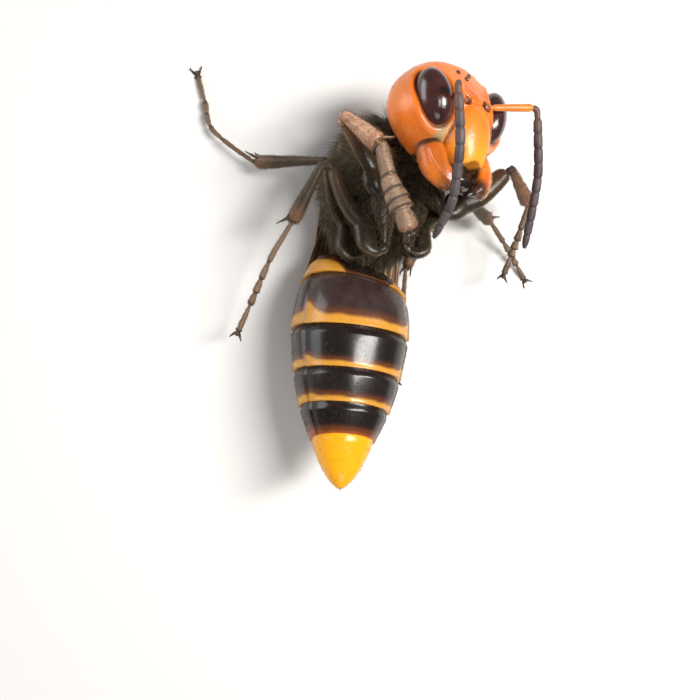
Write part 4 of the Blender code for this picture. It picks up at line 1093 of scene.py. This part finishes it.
def wing_finish():
    """Amber membrane, see-through between the veins, with a fine grain."""
    made = shell_finish("wing_membrane", (0.36, 0.20, 0.075), (0.26, 0.135, 0.05),
                        (("vein", (0.13, 0.055, 0.02)),), roughness=0.28, bump=0.3, dimples=5200,
                        mottling=260)
    tree = made.node_tree
    read = node_in(tree, "Attribute", attribute_name="vein")
    cover = node_in(tree, "MapRange", {"To Min": 0.72})
    wired(tree, (read, "Fac", cover, "Value"),
          (cover, "Result", tree.nodes["Principled BSDF"], "Alpha"))
    return made


WING_FINISH = wing_finish()


def wing_bed(line, side):
    """The folded wing's middle line, and at each share of it the ways across and up."""
    def bed(at):
        behind, here, ahead = respaced(line, [max(at - 0.02, 0), at, min(at + 0.02, 1)])
        bank = math.radians(WING_BANK) * min(1.0, max(0.0, (BANKED_SHARE - at) / BANK_EASE))
        way = (ahead - behind).normalized()
        across = Vector((side * math.cos(bank), 0, math.sin(bank)))
        across = (across - way * across.dot(way)).normalized()
        upward = across.cross(way).normalized()
        return here, across, upward if upward.z > 0 else -upward
    return bed


def wing_piece(name, bed, form, span, shift, lift, veins, node):
    """One wing on a stretch of the bed, shifted across it and lifted off it."""
    rows, columns = WING_GRID
    bm = bmesh.new()
    vein = bm.verts.layers.float.new("vein")
    bmesh.ops.create_grid(bm, x_segments=rows, y_segments=columns, size=0.5)
    beds = {}
    for vert in bm.verts:
        share, place = vert.co.x + 0.5, vert.co.y * 2
        key = round(share * rows)
        if key not in beds:
            at = span[0] + (span[1] - span[0]) * share
            point, across, upward = bed(at)
            half = straight_form(form, share)[0]
            beds[key] = (point + across * shift * min(1.0, max(0.0, (at - 0.1) / 0.4)) + upward * lift,
                         across, upward, half)
        centre, across, upward, half = beds[key]
        near = max(hump((place - v) * half, 0, VEIN_WIDTH) for v in veins)
        for at, low, high in CROSS_VEINS:
            if low < place < high:
                slant = CROSS_SLANT * math.sin(place * 3)
                near = max(near, hump((share - at - slant) * CROSS_SHARPNESS, 0, VEIN_WIDTH))
        vert[vein] = near
        pleat = PLEAT * math.cos(place * 9) * step_up(share, 0.05, 0.3)
        vert.co = centre + across * place * half + upward * (near * VEIN_RISE * 0.5 + pleat)
    bmesh.ops.recalc_face_normals(bm, faces=bm.faces)
    bmesh.ops.solidify(bm, geom=bm.faces, thickness=MEMBRANE)
    lifted(bm, WING_REST)
    made_piece(name, bm, WING_FINISH, "wing", (node,))


for name, side in SIDES.items():
    bed = wing_bed(smooth_way(WING_WAYS[name], 121), side)
    wing_piece(f"front_wing_{name}", bed, FOREWING_FORM, (0, 1), 0.0, 0.0, FOREWING_VEINS,
               f"forewing_{name}")
    wing_piece(f"back_wing_{name}", bed, HINDWING_FORM, HINDWING_SPAN, HINDWING_SHIFT, HINDWING_LIFT,
               HINDWING_VEINS, f"hindwing_{name}")

# The tegulae: two small domed scales of red-brown shell with a raised ring near the rim, hinged to
# the thorax over the wings' roots.
TEGULA_AT, TEGULA_RADII = (5.9, 3.5, -0.9), (0.9, 1.1, 0.9)
TEGULA_FINISH = shell_finish("tegula_scale", (0.14, 0.045, 0.015), (0.06, 0.022, 0.009), roughness=0.3)
for name, side in SIDES.items():
    bm = bmesh.new()
    bmesh.ops.create_uvsphere(bm, u_segments=40, v_segments=28, radius=1)
    for vert in bm.verts:
        rim = 1 + 0.06 * hump(vert.co.x, 0.15, 0.1)
        wide, long, high = (vert.co[i] * TEGULA_RADII[i] for i in range(3))
        vert.co = Vector((wide, long * rim, high * rim))
    mirrored = Matrix.Scale(side, 4, Vector((1, 0, 0)))
    bm.transform(Matrix.Translation((side * TEGULA_AT[0], *TEGULA_AT[1:])) @ mirrored)
    bmesh.ops.recalc_face_normals(bm, faces=bm.faces)
    made_piece(f"wing_scale_{name}", bm, TEGULA_FINISH, "thorax_shell", (f"tegula_{name}",), THORAX)

# The coats: fine hairs in thin bent tufts, rooted in the shells. They are long and olive-brown on
# the thorax and the hips, bristles on the legs, pale down on the head, and very short elsewhere.
TUFT_FACES = np.array(((0, 2, 1), (0, 1, 4), (0, 4, 3), (1, 2, 5), (1, 5, 4), (2, 0, 3), (2, 3, 5),
                       (3, 4, 6), (4, 5, 6), (5, 3, 6)))
TUFT_UNWRAP = np.array(((0, 0), (1, 0), (0.5, 0.1), (0, 0.5), (1, 0.5), (0.5, 0.6), (0.5, 1)))
TUFT_PATCH, ROOT_DEPTH, FLOOR_CLEARANCE, UNWRAP_SHARE, UNWRAP_EDGE = 0.003, 0.06, 0.02, 0.96, 0.01
RANDOM = np.random.default_rng(2607)


def unit(vectors):
    return vectors / np.maximum(np.linalg.norm(vectors, axis=1), 1e-9)[:, None]


def skin_values(mesh, name, corners):
    """An attribute at the three corners of each face, whole where the skin comes round."""
    values = np.zeros(len(mesh.vertices))
    mesh.attributes[name].data.foreach_get("value", values)
    values = values[corners]
    torn = values.max(axis=1) - values.min(axis=1) > 0.5
    values[torn] = values[torn].max(axis=1)[:, None]
    return values


def tufts(skin, density, length, width, lie, stand, chance=None, spread=0.3, curl=0.5, band=(0, 1),
          carried=None):
    """Tufts at random roots on a skin. Density is for each square millimetre; chance(places, along,
    around) thins them; lie is the way they point, stand how much they rise, and band the stretch of
    the unwrap that this skin takes."""
    mesh = bpy.data.objects[skin].data
    mesh.calc_loop_triangles()
    corners = np.zeros(len(mesh.loop_triangles) * 3, dtype=np.int32)
    mesh.loop_triangles.foreach_get("vertices", corners)
    corners = corners.reshape(-1, 3)
    places = np.zeros(len(mesh.vertices) * 3)
    mesh.vertices.foreach_get("co", places)
    a, b, c = (places.reshape(-1, 3)[corners[:, k]] / MM for k in range(3))
    facing = np.cross(b - a, c - a)
    weights = np.linalg.norm(facing, axis=1) / 2
    along, around = skin_values(mesh, "along", corners), skin_values(mesh, "around", corners)
    if chance:
        weights = weights * chance((a + b + c) / 3, along.mean(axis=1), around.mean(axis=1))
    count = round(density * weights.sum())
    picked = RANDOM.choice(len(weights), size=count, p=weights / weights.sum())
    u, v = RANDOM.random(count), RANDOM.random(count)
    past = u + v > 1
    u[past], v[past] = 1 - u[past], 1 - v[past]
    blend = np.stack((1 - u - v, u, v), axis=1)
    roots = a[picked] * blend[:, :1] + b[picked] * blend[:, 1:2] + c[picked] * blend[:, 2:]
    facing = unit(facing[picked])

    way = np.array(lie)[None] + np.zeros((count, 3))
    flat = unit(way - facing * (way * facing).sum(axis=1)[:, None] + RANDOM.normal(0, 0.02, (count, 3)))
    swing = RANDOM.normal(0, spread, count)[:, None]
    flat = unit(flat * np.cos(swing) + np.cross(facing, flat) * np.sin(swing))
    rise = stand * RANDOM.uniform(0.6, 1.4, count)[:, None]
    reach = length * RANDOM.uniform(0.55, 1.2, count)[:, None]
    out = unit(flat + facing * rise)
    bent = unit(flat + facing * rise * (1 - curl * RANDOM.uniform(0.4, 1.6, count)[:, None]))
    side = unit(np.cross(facing, out))
    upward = np.cross(out, side)
    points = np.zeros((count, 7, 3))
    for k in range(3):
        turn = 2 * math.pi * k / 3
        rim = (side * math.cos(turn) + upward * math.sin(turn)) * width / 2
        points[:, k] = roots - facing * ROOT_DEPTH + rim
        points[:, 3 + k] = roots + out * reach * 0.5 + rim * 0.75
    points[:, 6] = roots + (out + bent) * reach * 0.5
    points[:, :, 2] = np.maximum(points[:, :, 2], FLOOR_CLEARANCE)

    place = np.stack(((along[picked] * blend).sum(axis=1), (around[picked] * blend).sum(axis=1)), axis=1)
    place = place * (band[1] - band[0], 1) * UNWRAP_SHARE + (band[0] + UNWRAP_EDGE, UNWRAP_EDGE)
    mark = np.zeros(count)
    if carried:
        mark = (skin_values(mesh, carried, corners)[picked] * blend).sum(axis=1)
    return points, place, mark


def coat(name, patches, finish, slot):
    """One piece from the tufts of several skins."""
    points, places, marks = (np.concatenate([patch[k] for patch in patches]) for k in range(3))
    count = len(points)
    faces = (TUFT_FACES[None] + 7 * np.arange(count)[:, None, None]).reshape(-1)
    mesh = bpy.data.meshes.new(name)
    mesh.vertices.add(count * 7)
    mesh.vertices.foreach_set("co", (points * MM).reshape(-1))
    mesh.loops.add(len(faces))
    mesh.loops.foreach_set("vertex_index", faces)
    mesh.polygons.add(len(faces) // 3)
    mesh.polygons.foreach_set("loop_start", np.arange(0, len(faces), 3))
    mesh.update(calc_edges=True)
    unwrap = mesh.uv_layers.new(name="OFBake")
    spots = (places[:, None] + TUFT_PATCH * TUFT_UNWRAP[None]).reshape(-1, 2)
    unwrap.data.foreach_set("uv", spots[faces].reshape(-1))
    shares = {"tint": np.repeat(RANDOM.random(count), 7), "mark": np.repeat(marks, 7),
              "tip": np.tile((0, 0, 0, 0.4, 0.4, 0.4, 0.9), count)}
    for share, values in shares.items():
        mesh.attributes.new(share, "FLOAT", "POINT").data.foreach_set("value", values)
    riding(name, mesh, finish, slot)


def hair_finish(name, base, other, tip, mark=None):
    marks = [("tint", other), ("tip", tip)]
    if mark:
        marks.append(("mark", mark))
    return shell_finish(name, base, base, marks, roughness=0.5, bump=0.0, shine=0.3)


THORAX_HAIR = hair_finish("thorax_hair", (0.030, 0.021, 0.011), (0.085, 0.060, 0.030), (0.20, 0.155, 0.088))
LEG_HAIR = hair_finish("leg_hair", (0.042, 0.027, 0.014), (0.10, 0.065, 0.032), (0.21, 0.145, 0.08))
PALE_HAIR = hair_finish("pale_hair", (0.55, 0.26, 0.07), (0.75, 0.42, 0.15), (0.85, 0.60, 0.30))
GASTER_HAIR = hair_finish("gaster_hair", (0.05, 0.03, 0.017), (0.11, 0.065, 0.032), (0.22, 0.15, 0.08),
                          (0.55, 0.27, 0.05))
FEELER_HAIR = hair_finish("feeler_hair", (0.07, 0.048, 0.046), (0.12, 0.085, 0.08), (0.20, 0.15, 0.135))


def off_the_floor(places, along, around):
    return np.where(places[:, 2] > 0.3, 1.0, 0.0)


def on_the_flanks(places, along, around):
    """The front of the thorax's two sides, where the longest hair stands out."""
    flank = (np.abs(np.cos(2 * math.pi * around)) > 0.7) & (along > 0.4)
    return off_the_floor(places, along, around) * flank


def on_the_head(places, along, around):
    """1 on the head's shell, 0 on the eyes' hollows and in the feelers' sockets."""
    local = (places - np.array(HEAD.translation)) @ np.array(HEAD.to_3x3())
    local[:, 0] = np.abs(local[:, 0])
    in_eye = (local - np.array(EYE_PLACE.translation)) @ np.array(EYE_PLACE.to_3x3()) / np.array(EYE_RADII)
    socket = np.hypot(local[:, 0] - SOCKET_AT[0], local[:, 2] - SOCKET_AT[2]) + 9 * (local[:, 1] < 1)
    shield = (local[:, 1] > 2) & (local[:, 2] > 0)
    clear = (np.linalg.norm(in_eye, axis=1) > 1.2) & (socket > 0.8)
    return clear * np.where(shield, 0.6, 1.0)


# the skin, then density, length, width, lie and stand of its tufts, and what thins them
coat("thorax_down", [tufts("thorax", 31, 0.9, 0.078, BACKWARD, 0.7, off_the_floor),
                     tufts("neck_stalk", 22, 0.7, 0.06, HEAD_AT - np.array(THORAX_AT), 0.8)],
     THORAX_HAIR, "thorax_shell")
coat("thorax_long_hair", [tufts("thorax", 18, 1.9, 0.06, BACKWARD, 1.3, off_the_floor, 0.7, 0.6),
                          tufts("thorax", 22, 2.7, 0.07, BACKWARD, 1.5, on_the_flanks, 0.6, 0.6)],
     THORAX_HAIR, "thorax_shell")
for name in LEGS:
    root, hip, knee, ankle, _, tip = leg_joints(name)
    coat(f"hairs_{name}", [
        tufts(f"coxa_{name}", 26, 0.75, 0.06, hip - root, 0.7, off_the_floor, 0.5, band=(0, 0.25)),
        tufts(f"femur_{name}", 16, 0.34, 0.04, knee - hip, 0.4, off_the_floor, band=(0.25, 0.5)),
        tufts(f"tibia_{name}", 22, 0.48, 0.042, ankle - knee, 0.5, off_the_floor, band=(0.5, 0.75)),
        tufts(f"foot_{name}", 34, 0.32, 0.038, tip - ankle, 0.5, off_the_floor, band=(0.75, 1)),
    ], LEG_HAIR, "leg_dark")
down_the_face = HEAD.to_3x3() @ Vector((0, 0, 1))
coat("head_down", [tufts("head_capsule", 13, 0.2, 0.026, down_the_face, 0.9, on_the_head, band=(0, 0.7)),
                   tufts("face_shield", 9, 0.2, 0.026, down_the_face, 0.9, band=(0.7, 1))],
     PALE_HAIR, "head_shell")
for name in SIDES:
    coat(f"jaw_hair_{name}",
         [tufts(f"jaw_{name}", 18, 0.26, 0.03, HEAD.to_3x3() @ Vector((0, 0.3, 1)), 0.7)],
         PALE_HAIR, "head_shell")
    coat(f"feeler_down_{name}", [tufts(f"feeler_{name}", 30, 0.13, 0.03, (0, -1, 0), 0.6)],
         FEELER_HAIR, "feeler")
to_sting = np.array(GASTER_WAY[-1]) - np.array(GASTER_WAY[0])
coat("gaster_down", [tufts(f"gaster_ring_{number}", 8, 0.34, 0.026, to_sting, 0.35, off_the_floor,
                           band=((number - 1) / RINGS, number / RINGS), carried="rim")
                     for number in range(1, RINGS + 1)],
     GASTER_HAIR, "gaster_shell")
